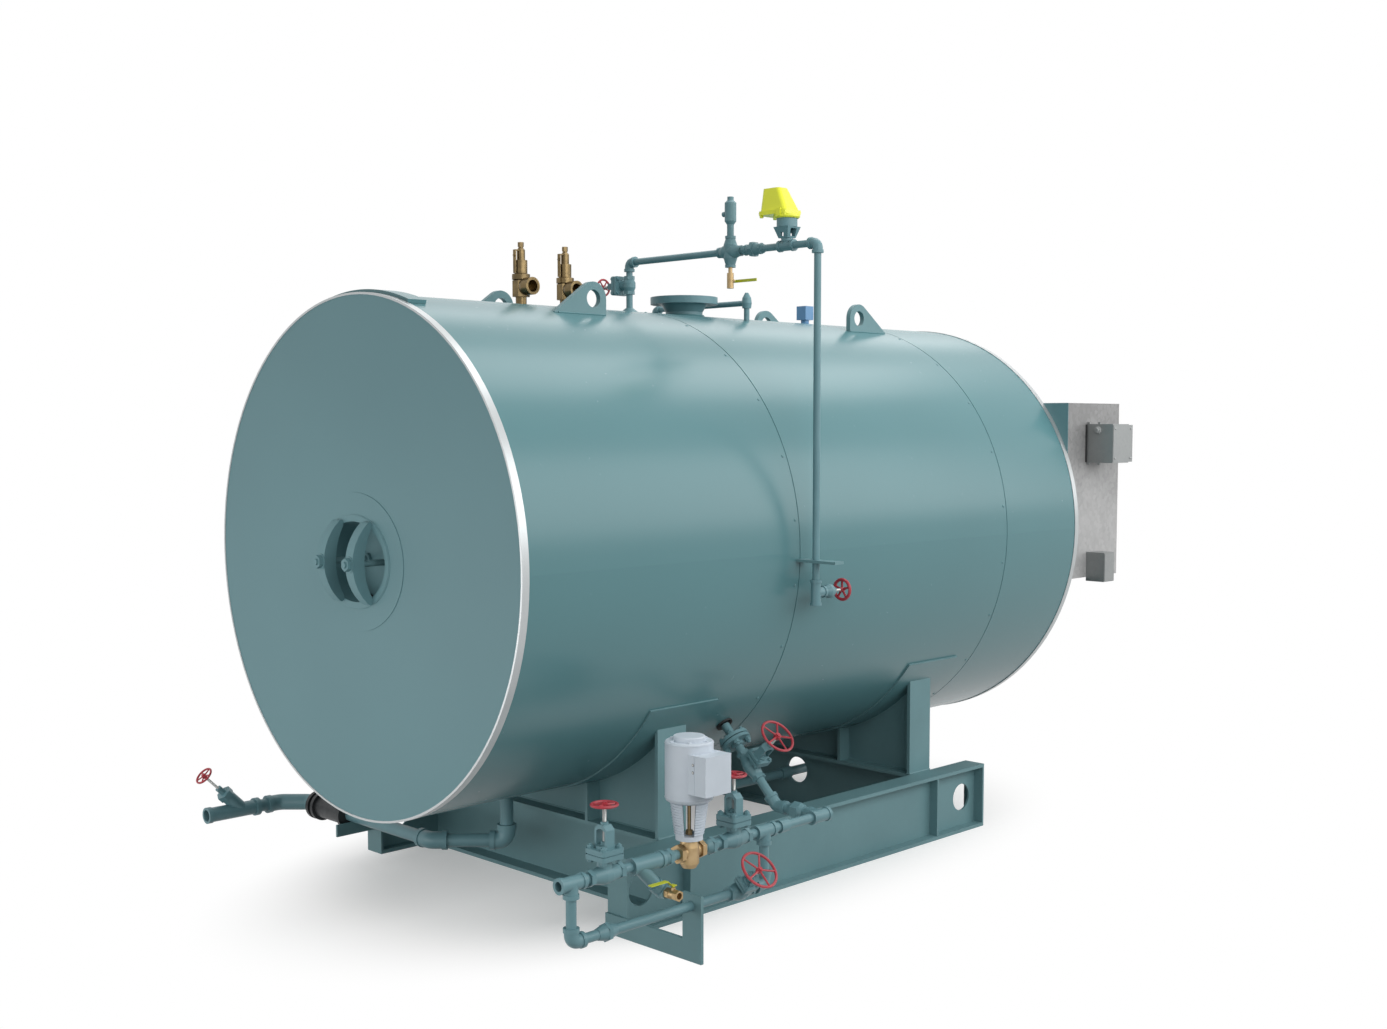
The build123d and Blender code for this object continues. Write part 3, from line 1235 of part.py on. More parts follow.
# Hand wheels, each on its own stem
wheel_bar = 4
small_wheel_bar = 3.5
side_wheel_bar = 5
spoke_count = 5
isolating_wheel_reach = 128
isolating_wheel_radius = 30
wheel_table = (
    ("feed_wheel_inlet", (feed_x, inlet_valve_y, feed_z), Z, feed_wheel_reach, feed_wheel_radius, wheel_bar,
     feed_stem, feed_wheel_reach - feed_neck - 2 * feed_plate - feed_arm),
    ("feed_wheel_outlet", (feed_x, outlet_valve_y, feed_z), Z, feed_wheel_reach, feed_wheel_radius, wheel_bar,
     feed_stem, feed_wheel_reach - feed_neck - 2 * feed_plate - feed_arm),
    ("bypass_wheel", (feed_x, bypass_valve_y, bypass_z), slant, bypass_wheel_reach, bypass_wheel_radius,
     wheel_bar, small_stem, bypass_wheel_reach - bypass_neck - 2 * bypass_plate - small_arm),
    ("riser_wheel", riser_centre, slant, riser_wheel_reach, riser_wheel_radius, wheel_bar,
     feed_stem, riser_wheel_reach - riser_neck - 2 * riser_plate - small_arm),
    ("blowdown_wheel", y_centre, y_way, y_wheel_reach, y_wheel_radius, small_wheel_bar,
     y_stem, y_wheel_reach - y_neck),
    ("isolating_wheel", (0, level_y, stack_z), -X, isolating_wheel_reach, isolating_wheel_radius,
     small_wheel_bar, small_stem, isolating_wheel_reach - isolating_neck - 2 * isolating_plate - small_arm),
    ("side_wheel", (level_run, level_y, gauge_z), Y, side_wheel_reach, side_wheel_radius, side_wheel_bar,
     side_stem, side_wheel_reach - gauge_reach - small_band),
)
for name, centre, way, reach, radius, bar, stem_radius, stem_length in wheel_table:
    with BuildPart() as wheel:
        hand_wheel(Vector(centre) + Vector(way).normalized() * reach, way, radius, bar, spoke_count,
                   stem_radius, stem_length)
    wheel.part.label = name
    export_step(wheel.part, f"parts/{name}.step")
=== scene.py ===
from collections import namedtuple
from math import cos, pi, radians, sin, sqrt

import bmesh
import bpy
from mathutils import Matrix, Vector


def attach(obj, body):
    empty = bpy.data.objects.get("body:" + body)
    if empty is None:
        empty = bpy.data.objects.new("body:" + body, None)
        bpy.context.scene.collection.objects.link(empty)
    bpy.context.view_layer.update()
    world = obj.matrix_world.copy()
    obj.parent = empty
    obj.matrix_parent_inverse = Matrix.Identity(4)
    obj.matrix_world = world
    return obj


bl_info = {
    "name": "Industrial boiler",
    "version": (1, 1, 0),
    "blender": (4, 5, 0),
    "location": "3D View > Sidebar > Boiler",
    "description": "Dresses the packed boiler with its finishes, fasteners and fittings",
    "category": "Object",
}

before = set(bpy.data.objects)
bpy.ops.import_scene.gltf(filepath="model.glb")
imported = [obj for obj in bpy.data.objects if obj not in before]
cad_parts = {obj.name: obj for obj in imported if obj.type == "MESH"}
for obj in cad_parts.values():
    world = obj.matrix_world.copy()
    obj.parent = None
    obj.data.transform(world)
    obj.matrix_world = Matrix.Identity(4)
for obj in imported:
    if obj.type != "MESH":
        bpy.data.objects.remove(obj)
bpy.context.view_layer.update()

MM = 0.001
ROOT = "boiler"
X, Y, Z = Vector((1, 0, 0)), Vector((0, 1, 0)), Vector((0, 0, 1))
SLANT = Vector((1, 0, 1)).normalized()
RISE = Vector((-1, 0, 1)).normalized()

# Widths of the patterns that all finishes of a kind share, in millimetres. Dust in the paint
# and the lines of the rolls are finer in truth, and are drawn this coarse so that they show
DUST = 22
STAIN = 180
WAVE = 260
ROLL_LINE = 2.5
PATCH = 35
SAND = 3
MOTTLE = 60
GRAIN = 1.5

# Height above which galvanised sheet has painted shade, and below which painted light: the
# enclosure's, and one above everything
ENCLOSURE_SHADE_HEIGHT = 1250
SHADE_HEIGHT_ABOVE_ALL = 9000


def tint(code):
    """sRGB hex code to linear colour."""
    parts = [int(code[i:i + 2], 16) / 255 for i in (1, 3, 5)]
    return tuple(p / 12.92 if p <= 0.04045 else ((p + 0.055) / 1.055) ** 2.4
                 for p in parts) + (1.0,)


# Paints and mouldings that a user may recolour: the coat's face, and its shade where it lies
# deeper
PAINTS = {
    "jacket": (tint("#5A858A"), tint("#588287")),
    "head": (tint("#658B91"), tint("#62878D")),
    "skid": (tint("#6B8F94"), tint("#63868B")),
    "pipe": (tint("#698F96"), tint("#62868D")),
    "wheel": (tint("#B23A45"), tint("#A23640")),
    "lever": (tint("#C9CF35"), tint("#BDC331")),
    "level_cover": (tint("#F0F43C"), tint("#EBEF38")),
    "switch": (tint("#5F92BE"), tint("#588AB5")),
}


def coat(colours, key):
    """The colour that a user chose for a paint, and a shade as far from it as by default."""
    chosen = tuple(getattr(colours, key))
    face, shade = PAINTS[key]
    return chosen, tuple(c * s / f for c, s, f in zip(chosen, shade, face))


def add(tree, kind, values=None, links=None, **settings):
    """Adds one node with its settings, its own values and the sockets that feed it."""
    made = tree.nodes.new(kind)
    for key, value in settings.items():
        setattr(made, key, value)
    for key, value in (values or {}).items():
        made.inputs[key].default_value = value
    for key, source in (links or {}).items():
        tree.links.new(source, made.inputs[key])
    return made


def per_mm(size):
    """Texture scale, per metre, at which one feature is about this many millimetres wide."""
    return 1 / (size * MM)


def blank(name):
    """New material with an empty node tree."""
    made = bpy.data.materials.new(name)
    made.use_nodes = True
    made.node_tree.nodes.clear()
    return made, made.node_tree


def background_rays(tree):
    """1 for the rays that show the background: the camera's, and those metal and glass show."""
    path = add(tree, "ShaderNodeLightPath").outputs
    seen = add(tree, "ShaderNodeMath", operation="MAXIMUM",
               links={0: path["Is Camera Ray"], 1: path["Is Glossy Ray"]})
    return add(tree, "ShaderNodeMath", operation="MAXIMUM",
               links={0: seen.outputs["Value"],
                      1: path["Is Transmission Ray"]}).outputs["Value"]


def finish_surface(tree, shader):
    """Makes a shader the surface of its material."""
    add(tree, "ShaderNodeOutputMaterial", links={"Surface": shader.outputs["BSDF"]})


def sprayed_enamel(name, face, shade, roughness, cloud_mm, peel_mm, peel_deep_mm, speck):
    """Machine enamel, sprayed: a soft broad sheen with a faint orange peel, and clouds of a
    slightly different depth where the coats overlapped."""
    made, tree = blank(name)
    place = add(tree, "ShaderNodeTexCoord").outputs["Object"]
    cloud = add(tree, "ShaderNodeTexNoise",
                {"Scale": per_mm(cloud_mm), "Detail": 2.0, "Roughness": 0.5}, {"Vector": place})
    spread = add(tree, "ShaderNodeMapRange", {"From Min": 0.3, "From Max": 0.7},
                 {"Value": cloud.outputs["Fac"]})
    body = add(tree, "ShaderNodeMix", {6: shade, 7: face}, {0: spread.outputs["Result"]},
               data_type="RGBA")
    fine = add(tree, "ShaderNodeTexNoise",
               {"Scale": per_mm(DUST), "Detail": 3.0, "Roughness": 0.6}, {"Vector": place})
    dust = add(tree, "ShaderNodeMapRange",
               {"From Min": 0.25, "From Max": 0.75, "To Min": 1 - speck, "To Max": 1 + speck},
               {"Value": fine.outputs["Fac"]})
    toned = add(tree, "ShaderNodeMix", {0: 1.0},
                {6: body.outputs[2], 7: dust.outputs["Result"]},
                data_type="RGBA", blend_type="MULTIPLY")
    gloss = add(tree, "ShaderNodeMapRange",
                {"To Min": roughness - 2 * speck, "To Max": roughness + 2 * speck},
                {"Value": fine.outputs["Fac"]})
    ripple = add(tree, "ShaderNodeTexNoise", {"Scale": per_mm(peel_mm), "Detail": 1.0},
                 {"Vector": place})
    relief = add(tree, "ShaderNodeBump", {"Strength": 0.25, "Distance": peel_deep_mm * MM},
                 {"Height": ripple.outputs["Fac"]})
    shader = add(tree, "ShaderNodeBsdfPrincipled",
                 {"Metallic": 0.0, "IOR": 1.5, "Specular IOR Level": 0.35},
                 {"Base Color": toned.outputs[2], "Roughness": gloss.outputs["Result"],
                  "Normal": relief.outputs["Normal"]})
    finish_surface(tree, shader)
    return made


def galvanised_sheet(name, face, shade, roughness, spangle_mm, metallic, painted_shade_above):
    """Hot-dip galvanised sheet: dull zinc with frosty crystals, each of a slightly different
    grey, with painted shade that darkens it above a height and painted light that lightens it
    below."""
    made, tree = blank(name)
    place = add(tree, "ShaderNodeTexCoord").outputs["Object"]
    crystals = add(tree, "ShaderNodeTexVoronoi",
                   {"Scale": per_mm(spangle_mm), "Randomness": 1.0}, {"Vector": place})
    grey = add(tree, "ShaderNodeSeparateColor", links={"Color": crystals.outputs["Color"]})
    stain = add(tree, "ShaderNodeTexNoise", {"Scale": per_mm(STAIN), "Detail": 3.0},
                {"Vector": place})
    clouds = add(tree, "ShaderNodeMix", {0: 0.75},
                 {2: grey.outputs["Red"], 3: stain.outputs["Fac"]})
    height = add(tree, "ShaderNodeSeparateXYZ", links={"Vector": place})
    # Painted shade above the height and painted light below it, standing in for how light falls
    blend = 200
    painted_light_and_shade = add(tree, "ShaderNodeMapRange",
                 {"From Min": (painted_shade_above + blend) * MM, "From Max": (painted_shade_above - blend) * MM,
                  "To Min": -0.4, "To Max": 0.4}, {"Value": height.outputs["Z"]})
    both = add(tree, "ShaderNodeMath",
               links={0: clouds.outputs[0], 1: painted_light_and_shade.outputs["Result"]},
               operation="ADD", use_clamp=True)
    body = add(tree, "ShaderNodeMix", {6: shade, 7: face}, {0: both.outputs["Value"]},
               data_type="RGBA")
    gloss = add(tree, "ShaderNodeMapRange",
                {"To Min": roughness - 0.04, "To Max": roughness + 0.06},
                {"Value": grey.outputs["Green"]})
    wave = add(tree, "ShaderNodeTexNoise", {"Scale": per_mm(WAVE), "Detail": 1.0},
               {"Vector": place})
    relief = add(tree, "ShaderNodeBump", {"Strength": 0.2, "Distance": 0.5 * MM},
                 {"Height": wave.outputs["Fac"]})
    shader = add(tree, "ShaderNodeBsdfPrincipled", {"Metallic": metallic},
                 {"Base Color": body.outputs[2], "Roughness": gloss.outputs["Result"],
                  "Normal": relief.outputs["Normal"]})
    finish_surface(tree, shader)
    return made


def rolled_strip(name, face, shade, roughness):
    """Cold-rolled strip: bright and even, with very faint lines that the rolls left along it."""
    made, tree = blank(name)
    place = add(tree, "ShaderNodeTexCoord").outputs["Object"]
    lines = add(tree, "ShaderNodeTexNoise", {"Scale": per_mm(ROLL_LINE), "Detail": 1.0},
                {"Vector": place})
    body = add(tree, "ShaderNodeMix", {6: shade, 7: face}, {0: lines.outputs["Fac"]},
               data_type="RGBA")
    shader = add(tree, "ShaderNodeBsdfPrincipled", {"Metallic": 0.55, "Roughness": roughness},
                 {"Base Color": body.outputs[2]})
    finish_surface(tree, shader)
    return made


def cast_metal(name, face, shade, roughness, metallic, relief_mm=0.2):
    """Sand-cast metal: a fine pebbled skin with dull patches among brighter ones."""
    made, tree = blank(name)
    place = add(tree, "ShaderNodeTexCoord").outputs["Object"]
    patch = add(tree, "ShaderNodeTexNoise",
                {"Scale": per_mm(PATCH), "Detail": 3.0, "Roughness": 0.6}, {"Vector": place})
    spread = add(tree, "ShaderNodeMapRange", {"From Min": 0.3, "From Max": 0.7},
                 {"Value": patch.outputs["Fac"]})
    body = add(tree, "ShaderNodeMix", {6: shade, 7: face}, {0: spread.outputs["Result"]},
               data_type="RGBA")
    gloss = add(tree, "ShaderNodeMapRange",
                {"To Min": roughness + 0.06, "To Max": roughness - 0.06},
                {"Value": spread.outputs["Result"]})
    sand = add(tree, "ShaderNodeTexNoise", {"Scale": per_mm(SAND), "Detail": 2.0},
               {"Vector": place})
    relief = add(tree, "ShaderNodeBump", {"Strength": 0.35, "Distance": relief_mm * MM},
                 {"Height": sand.outputs["Fac"]})
    shader = add(tree, "ShaderNodeBsdfPrincipled", {"Metallic": metallic},
                 {"Base Color": body.outputs[2], "Roughness": gloss.outputs["Result"],
                  "Normal": relief.outputs["Normal"]})
    finish_surface(tree, shader)
    return made


def moulded_plastic(name, face, shade, roughness):
    """Injection-moulded or dipped plastic: an even colour with a fine texture that blurs its
    gloss."""
    made, tree = blank(name)
    place = add(tree, "ShaderNodeTexCoord").outputs["Object"]
    mottle = add(tree, "ShaderNodeTexNoise", {"Scale": per_mm(MOTTLE), "Detail": 2.0},
                 {"Vector": place})
    body = add(tree, "ShaderNodeMix", {6: shade, 7: face}, {0: mottle.outputs["Fac"]},
               data_type="RGBA")
    grain = add(tree, "ShaderNodeTexNoise", {"Scale": per_mm(GRAIN), "Detail": 1.0},
                {"Vector": place})
    relief = add(tree, "ShaderNodeBump", {"Strength": 0.15, "Distance": 0.1 * MM},
                 {"Height": grain.outputs["Fac"]})
    shader = add(tree, "ShaderNodeBsdfPrincipled",
                 {"Metallic": 0.0, "Roughness": roughness, "IOR": 1.5},
                 {"Base Color": body.outputs[2], "Normal": relief.outputs["Normal"]})
    finish_surface(tree, shader)
    return made


def make_finishes(paint):
    """All finishes, by the key that the nodes and pieces use. Real orange peel is 2 to 5 mm
    wide, too fine to show on the large plates, so the jacket's is drawn 30 mm wide and the
    heads' 20 mm."""
    return {
        # One even, cool teal with long level bands of sheen
        "jacket": sprayed_enamel(
            "sprayed teal enamel on sheet", *coat(paint, "jacket"),
            roughness=0.27, cloud_mm=700, peel_mm=30, peel_deep_mm=0.02, speck=0.004),
        # Greyer and flatter than the jacket, so the front is a broad quiet disc
        "head": sprayed_enamel(
            "teal enamel on plate", *coat(paint, "head"),
            roughness=0.5, cloud_mm=600, peel_mm=20, peel_deep_mm=0.03, speck=0.005),
        # Lightly mottled, as paint over mill scale is, and hardly shiny
        "skid": sprayed_enamel(
            "teal enamel on rolled steel", *coat(paint, "skid"),
            roughness=0.48, cloud_mm=260, peel_mm=5, peel_deep_mm=0.1, speck=0.025),
        # A narrow line of sheen along each pipe, broken by small patches
        "pipe": sprayed_enamel(
            "teal enamel on pipe", *coat(paint, "pipe"),
            roughness=0.4, cloud_mm=120, peel_mm=3, peel_deep_mm=0.05, speck=0.02),
        # A thin bright line round each end of the vessel
        "trim": rolled_strip("bright rolled strip", tint("#BEC2C3"), tint("#B3B7B8"), 0.34),
        # Pale frosty grey, with painted shade darkening its upper half and painted light its
        # lower
        "galvanised": galvanised_sheet(
            "galvanised enclosure sheet", tint("#B0B0B0"), tint("#808080"),
            roughness=0.46, spangle_mm=16, metallic=0.25, painted_shade_above=ENCLOSURE_SHADE_HEIGHT),
        # Warm gold, dulled by its cast skin
        "brass": cast_metal("cast brass", tint("#B39B76"), tint("#9F8761"),
                            roughness=0.42, metallic=0.85),
        # Brown gold, dark in its hollows, with small glints
        "old_brass": cast_metal("weathered brass", tint("#7F6D4C"), tint("#5F523B"),
                                roughness=0.3, metallic=0.95, relief_mm=0.05),
        # Loud lemon yellow with a soft gloss
        "yellow": moulded_plastic("gloss yellow moulding", *coat(paint, "level_cover"),
                                  roughness=0.32),
        # Soft mid blue with a dull gloss
        "blue": moulded_plastic("moulded blue plastic", *coat(paint, "switch"),
                                roughness=0.35),
        # Darker zinc grey with a sheen of metal
        "grey": galvanised_sheet(
            "galvanised box sheet", tint("#949797"), tint("#838787"),
            roughness=0.36, spangle_mm=12, metallic=0.75, painted_shade_above=SHADE_HEIGHT_ABOVE_ALL),
        # Cool pale grey under a clear coat, with soft shadows in its ribs
        "aluminium": sprayed_enamel(
            "die-cast aluminium, lacquered", tint("#C9D2DB"), tint("#C2CBD4"),
            roughness=0.42, cloud_mm=120, peel_mm=2, peel_deep_mm=0.04, speck=0.012),
        # Near black, just light enough to show its form
        "black": cast_metal("black cast iron", tint("#2E3133"), tint("#212325"),
                            roughness=0.5, metallic=0.2),
        # Deep rosy red with small highlights
        "red": sprayed_enamel(
            "red enamel on cast wheels", *coat(paint, "wheel"),
            roughness=0.35, cloud_mm=60, peel_mm=3, peel_deep_mm=0.05, speck=0.02),
        # Greenish yellow, without much shine
        "lever": moulded_plastic("dipped yellow vinyl", *coat(paint, "lever"),
                                 roughness=0.4),
        # Thin bright glints on threads and screws
        "zinc": galvanised_sheet(
            "bright zinc plate", tint("#A9ABA9"), tint("#9A9D9B"),
            roughness=0.32, spangle_mm=8, metallic=0.9, painted_shade_above=SHADE_HEIGHT_ABOVE_ALL),
        # Black with hardly a highlight
        "rubber": moulded_plastic("black rubber", tint("#1F2122"), tint("#18191A"), 0.6),
    }


# Key of each finish, and the imported nodes that wear it
NODE_FINISH = {
    "jacket": ("vessel_jacket", "rim_flashing"),
    "head": ("front_head", "rear_head", "manway_ring", "manway_cover", "manway_yokes"),
    "trim": ("rim_trims",),
    "skid": ("lifting_lugs", "skid_beams", "cross_beams", "saddles", "train_bracket",
             "pipe_supports"),
    "pipe": ("steam_nozzle", "isolating_valve", "crossover_pipe", "drop_pipe", "low_header",
             "feed_inlet", "feed_valves", "strainer", "control_union", "feed_tail",
             "bypass_pipe", "bypass_valve", "riser_valve", "riser_pipe_high", "blowdown_pipe",
             "blowdown_valve", "drain_line", "level_neck", "vent_valve"),
    "brass": ("ball_valves", "control_valve"),
    "old_brass": ("safety_valves",),
    "yellow": ("level_cover",),
    "lever": ("drain_lever", "blow_lever"),
    "black": ("black_valve",),
    "grey": ("side_boxes",),
    "blue": ("pressure_switch",),
    "galvanised": ("element_enclosure",),
    "aluminium": ("actuator_yoke", "actuator_housing"),
    "red": ("feed_wheel_inlet", "feed_wheel_outlet", "bypass_wheel", "riser_wheel",
            "blowdown_wheel", "isolating_wheel", "side_wheel"),
}
FINISH = {}

# Places of the vessel and its fittings in the part's own frame, in millimetres
AXIS_Z = 1056
RADIUS = 750
CROWN_Z = AXIS_Z + RADIUS
FRONT_Y = -707
REAR_Y = 1913
SEAMS_Y = (350, 1448)
SADDLES_Y = (0, 1210)
SAFETY_Y = (-100, 78)
MANWAY_Z = 1048
MANWAY_AXES = (170, 133)
YOKE_X = 73
YOKE_FRONT = -778
NOZZLE_Y = 608
LUG_X = 225
LEVEL_Y = 355
LEVEL_Z = 1968
LEVEL_X = 810
FEED_X = 910
FEED_Z = 303
BYPASS_Z = 153
RISER_FOOT = Vector((745, 258, FEED_Z))
CONTROL_Y = -276
HOUSING_LOW = 438
HOUSING_HIGH = 603
BLOW_X = -946
BLOW_Z = 140

# Lifting lugs: place along the vessel, and the way in which the long foot points
LUGS = ((-9, -1), (1264, 1))

# How far a weld's core stands off the jacket, and how far it is drawn between two rings
WELD_LIFT = 1
BEAD_STEP = 7.0

# Threads of the stems: how far they stand out of the stem, and how deep they are cut
THREAD_PROUD = 0.7
THREAD_DEPTH = 0.5

# Angle, in degrees, from which an edge of an added piece is drawn sharp
SHARP = 32

# Globe valves: centre, way of the pipe and of the stem, height of the neck, thickness and side
# of the bonnet's plates, height and bar of the yoke, radius of the stem, reach and bar of the
# wheel, and the body that the stem rides on
Valve = namedtuple("Valve", "name centre run stem neck plate side height arm radius reach bar "
                            "body")
FEED_SIZES = {"neck": 41, "plate": 14, "side": 72, "height": 60, "arm": 7, "radius": 5,
              "reach": 179, "bar": 4}
VALVES = (
    Valve("inlet", Vector((FEED_X, -578, FEED_Z)), Y, Z, body="feed_wheel_inlet_body",
          **FEED_SIZES),
    Valve("outlet", Vector((FEED_X, -104, FEED_Z)), Y, Z, body="feed_wheel_outlet_body",
          **FEED_SIZES),
    Valve("bypass", Vector((FEED_X, -80, BYPASS_Z)), Y, SLANT, neck=30, plate=8, side=52,
          height=36, arm=5, radius=4, reach=105, bar=4, body="bypass_wheel_body"),
    Valve("riser", RISER_FOOT + RISE * 148, RISE, SLANT, neck=34, plate=10, side=58,
          height=50, arm=5, radius=5, reach=150, bar=4, body="riser_wheel_body"),
    Valve("isolating", Vector((0, LEVEL_Y, 1894)), Z, -X, neck=34, plate=11, side=62,
          height=40, arm=5, radius=4, reach=128, bar=3.5, body="isolating_wheel_body"),
)

# Camera as solved from the photograph: sizes of the image in pixels, places in metres
IMAGE = (1387, 1029)
FOCAL_PX = 1558.25
CENTRE_PX = (694.10, 534.99)
CAMERA_AT = (3.8000, -3.1605, 1.4377)
CAMERA_YAW = 0.783156
CAMERA_DOWN = 0.0708359
SENSOR = 36.0
CLIP_END = 200

# Floor: what it shows, what it throws back as light, its own glow, and the oval round the
# boiler in which its shadow is kept
FLOOR_SHOWN = (0.8, 0.79, 0.78, 1)
FLOOR_BACK = (0.26, 0.27, 0.27, 1)
FLOOR_GLOW = 0.27
OVAL_SHIFT = (0, -0.33, 0)
OVAL_SCALE = (1, 0.55, 1)
OVAL_FADE = (0.6, 1.0)
WHITE = (1, 1, 1, 1)

# Long boxes that run along the vessel, so that its enamel shows them as level bands of sheen
Lamp = namedtuple("Lamp", "name place aim power size")
LAMPS = (
    Lamp("crown_strip", (0.5, 3.0, 5.6), (0, 0, -1), "top_power", (2.0, 7.0)),
    Lamp("far_strip", (-3.5, 5.2, 5.6), (0.35, 0, -1), "far_power", (1.5, 9.0)),
    Lamp("side_panel", (5.2, 3.0, 3.9), (-1, 0, 0), "side_power", (4.2, 12.0)),
    Lamp("front_panel", (-0.6, -3.3, 0.25), (0.05, 1, 0.05), "front_power", (1.6, 4.5)),
)


def turns(count):
    """Angles of equal steps round a circle."""
    return [2 * pi * i / count for i in range(count)]


def sides_of(way):
    """Two directions square to a way and to each other."""
    way = Vector(way).normalized()
    side = way.cross(Z if abs(way.z) < 0.9 else X).normalized()
    return side, way.cross(side)


def circle(at, side, other, radius, count):
    """Points at equal steps round a circle."""
    return [at + (side * cos(a) + other * sin(a)) * radius for a in turns(count)]


def drum(radius, length):
    """Outline of a plain cylinder."""
    return [(0, 0), (radius, 0), (radius, length), (0, length)]


def capped(radius, length, top, height):
    """Outline of a nut or a screw's head: a cylinder that tapers to a smaller flat."""
    return [(0, 0), (radius, 0), (radius, length), (top, height), (0, height)]


def turned(shape, at, way, outline, sides=24):
    """Closed solid of revolution: each point of the outline is (radius, distance along)."""
    at, way = Vector(at), Vector(way).normalized()
    side, other = sides_of(way)
    rings = []
    for radius, along in outline:
        base = at + way * along
        if radius <= 0:
            rings.append([shape.verts.new(base)])
        else:
            rings.append([shape.verts.new(p)
                          for p in circle(base, side, other, radius, sides)])
    for low, high in zip(rings, rings[1:]):
        for i in range(sides):
            j = (i + 1) % sides
            corners = [low[i % len(low)], low[j % len(low)],
                       high[j % len(high)], high[i % len(high)]]
            corners = [v for n, v in enumerate(corners) if v not in corners[:n]]
            if len(corners) > 2:
                shape.faces.new(corners)
    if len(rings[0]) > 1:
        shape.faces.new(reversed(rings[0]))
    if len(rings[-1]) > 1:
        shape.faces.new(rings[-1])


def tube(shape, points, radius, sides=8, closed=False):
    """Round bar that follows a line of points."""
    points = [Vector(p) for p in points]
    count = len(points)
    rings = []
    normal = None
    for i, point in enumerate(points):
        ahead = points[(i + 1) % count] if closed or i + 1 < count else point
        behind = points[i - 1] if closed or i > 0 else point
        way = (ahead - behind).normalized()
        if normal is None:
            normal = sides_of(way)[0]
        normal = (normal - way * normal.dot(way)).normalized()
        other = way.cross(normal)
        rings.append([shape.verts.new(p)
                      for p in circle(point, normal, other, radius, sides)])
    pairs = list(zip(rings, rings[1:])) + ([(rings[-1], rings[0])] if closed else [])
    for low, high in pairs:
        for k in range(sides):
            shape.faces.new((low[k], low[(k + 1) % sides], high[(k + 1) % sides], high[k]))
    if not closed:
        shape.faces.new(reversed(rings[0]))
        shape.faces.new(rings[-1])


def hoop(shape, at, way, radius, bar):
    """Closed ring of a thin round bar."""
    at, way = Vector(at), Vector(way).normalized()
    side, other = sides_of(way)
    tube(shape, circle(at, side, other, radius, 64), bar, 6, closed=True)


def slab(shape, low, high, edge):
    """Block between two corners, with its edges broken."""
    low, high = Vector(low), Vector(high)
    made = bmesh.ops.create_cube(shape, size=1.0)["verts"]
    size, middle = high - low, (high + low) / 2
    for vert in made:
        vert.co = Vector([vert.co[i] * size[i] + middle[i] for i in range(3)])
    edges = {e for v in made for e in v.link_edges}
    bmesh.ops.bevel(shape, geom=list(edges), offset=edge, segments=2, affect="EDGES",
                    clamp_overlap=True)


def nut(shape, at, way, radius, height, stud=0.0, stud_reach=0.0):
    """Hexagon nut with chamfered corners, on a washer, with the end of its stud."""
    chamfer = radius * 0.12
    washer = radius * 0.18
    turned(shape, at, way, drum(radius * 1.15, washer), 20)
    turned(shape, Vector(at) + Vector(way).normalized() * washer, way,
           capped(radius, height - chamfer, radius - chamfer, height), 6)
    if stud:
        top = washer + height + stud_reach
        turned(shape, at, way, capped(stud, top - stud * 0.3, stud * 0.7, top), 12)


def thread(shape, at, way, radius, length, pitch, depth=THREAD_DEPTH):
    """Screw thread, drawn as a stack of closely set ridges."""
    outline = [(0, 0), (radius - depth, 0)]
    along = 0.0
    while along + pitch <= length:
        outline += [(radius, along + pitch / 2), (radius - depth, along + pitch)]
        along += pitch
    outline += [(0, along)]
    turned(shape, at, way, outline, 20)


def bead(shape, points, radius, closed=False):
    """Weld bead along a line: a round run, cut into short even steps."""
    points = [Vector(p) for p in points]
    count = len(points)
    fine = []
    for i in range(count if closed else count - 1):
        start, end = points[i], points[(i + 1) % count]
        steps = max(1, round((end - start).length / BEAD_STEP))
        fine += [start.lerp(end, k / steps) for k in range(steps)]
    if not closed:
        fine.append(points[-1])
    tube(shape, fine, radius, 6, closed)


def piece(name, shape, finish, body=ROOT):
    """Turns a finished shape, in millimetres, into an object that rides on a body."""
    bmesh.ops.recalc_face_normals(shape, faces=shape.faces)
    bmesh.ops.scale(shape, vec=(MM, MM, MM), verts=shape.verts)
    mesh = bpy.data.meshes.new(name)
    shape.to_mesh(mesh)
    shape.free()
    mesh.polygons.foreach_set("use_smooth", [True] * len(mesh.polygons))
    mesh.set_sharp_from_angle(angle=radians(SHARP))
    mesh.materials.append(FINISH[finish])
    made = bpy.data.objects.new(name, mesh)
    bpy.context.scene.collection.objects.link(made)
    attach(made, body)


def in_mm(length):
    """Length of a property, held in metres, in millimetres and free of its rounding."""
    return round(length / MM, 4)


def outward(angle):
    """Way out of the jacket at an angle from its crown, in degrees."""
    return Vector((sin(radians(angle)), 0, cos(radians(angle))))


def on_jacket(y, angle):
    """Point on the jacket at a place along it and an angle from its crown, in degrees."""
    return Vector((RADIUS * sin(radians(angle)), y, AXIS_Z + RADIUS * cos(radians(angle))))


def on_crown(x, y):
    """Point of a weld's core on the upper side of the jacket."""
    return Vector((x, y, AXIS_Z + sqrt((RADIUS + WELD_LIFT) ** 2 - x ** 2)))


def oval_line(axes, y):
    """Points round an oval on the front head."""
    return [Vector((axes[0] * cos(a), y, MANWAY_Z + axes[1] * sin(a))) for a in turns(96)]


class BoilerSizes(bpy.types.PropertyGroup):
    """Sizes of the added pieces that a user would change."""
    bead_radius: bpy.props.FloatProperty(
        name="Weld bead", description="Radius of a fillet weld", default=0.004, min=0.001,
        precision=4, unit="LENGTH")
    screw_radius: bpy.props.FloatProperty(
        name="Sheet screw", description="Radius of a jacket screw", default=0.005, min=0.002,
        precision=4, unit="LENGTH")
    screw_step: bpy.props.FloatProperty(
        name="Screw step", description="Turn between two screws of a seam",
        default=radians(15), subtype="ANGLE")
    thread_pitch: bpy.props.FloatProperty(
        name="Thread pitch", description="Pitch of the stems and studs", default=0.002,
        min=0.001, precision=4, unit="LENGTH")


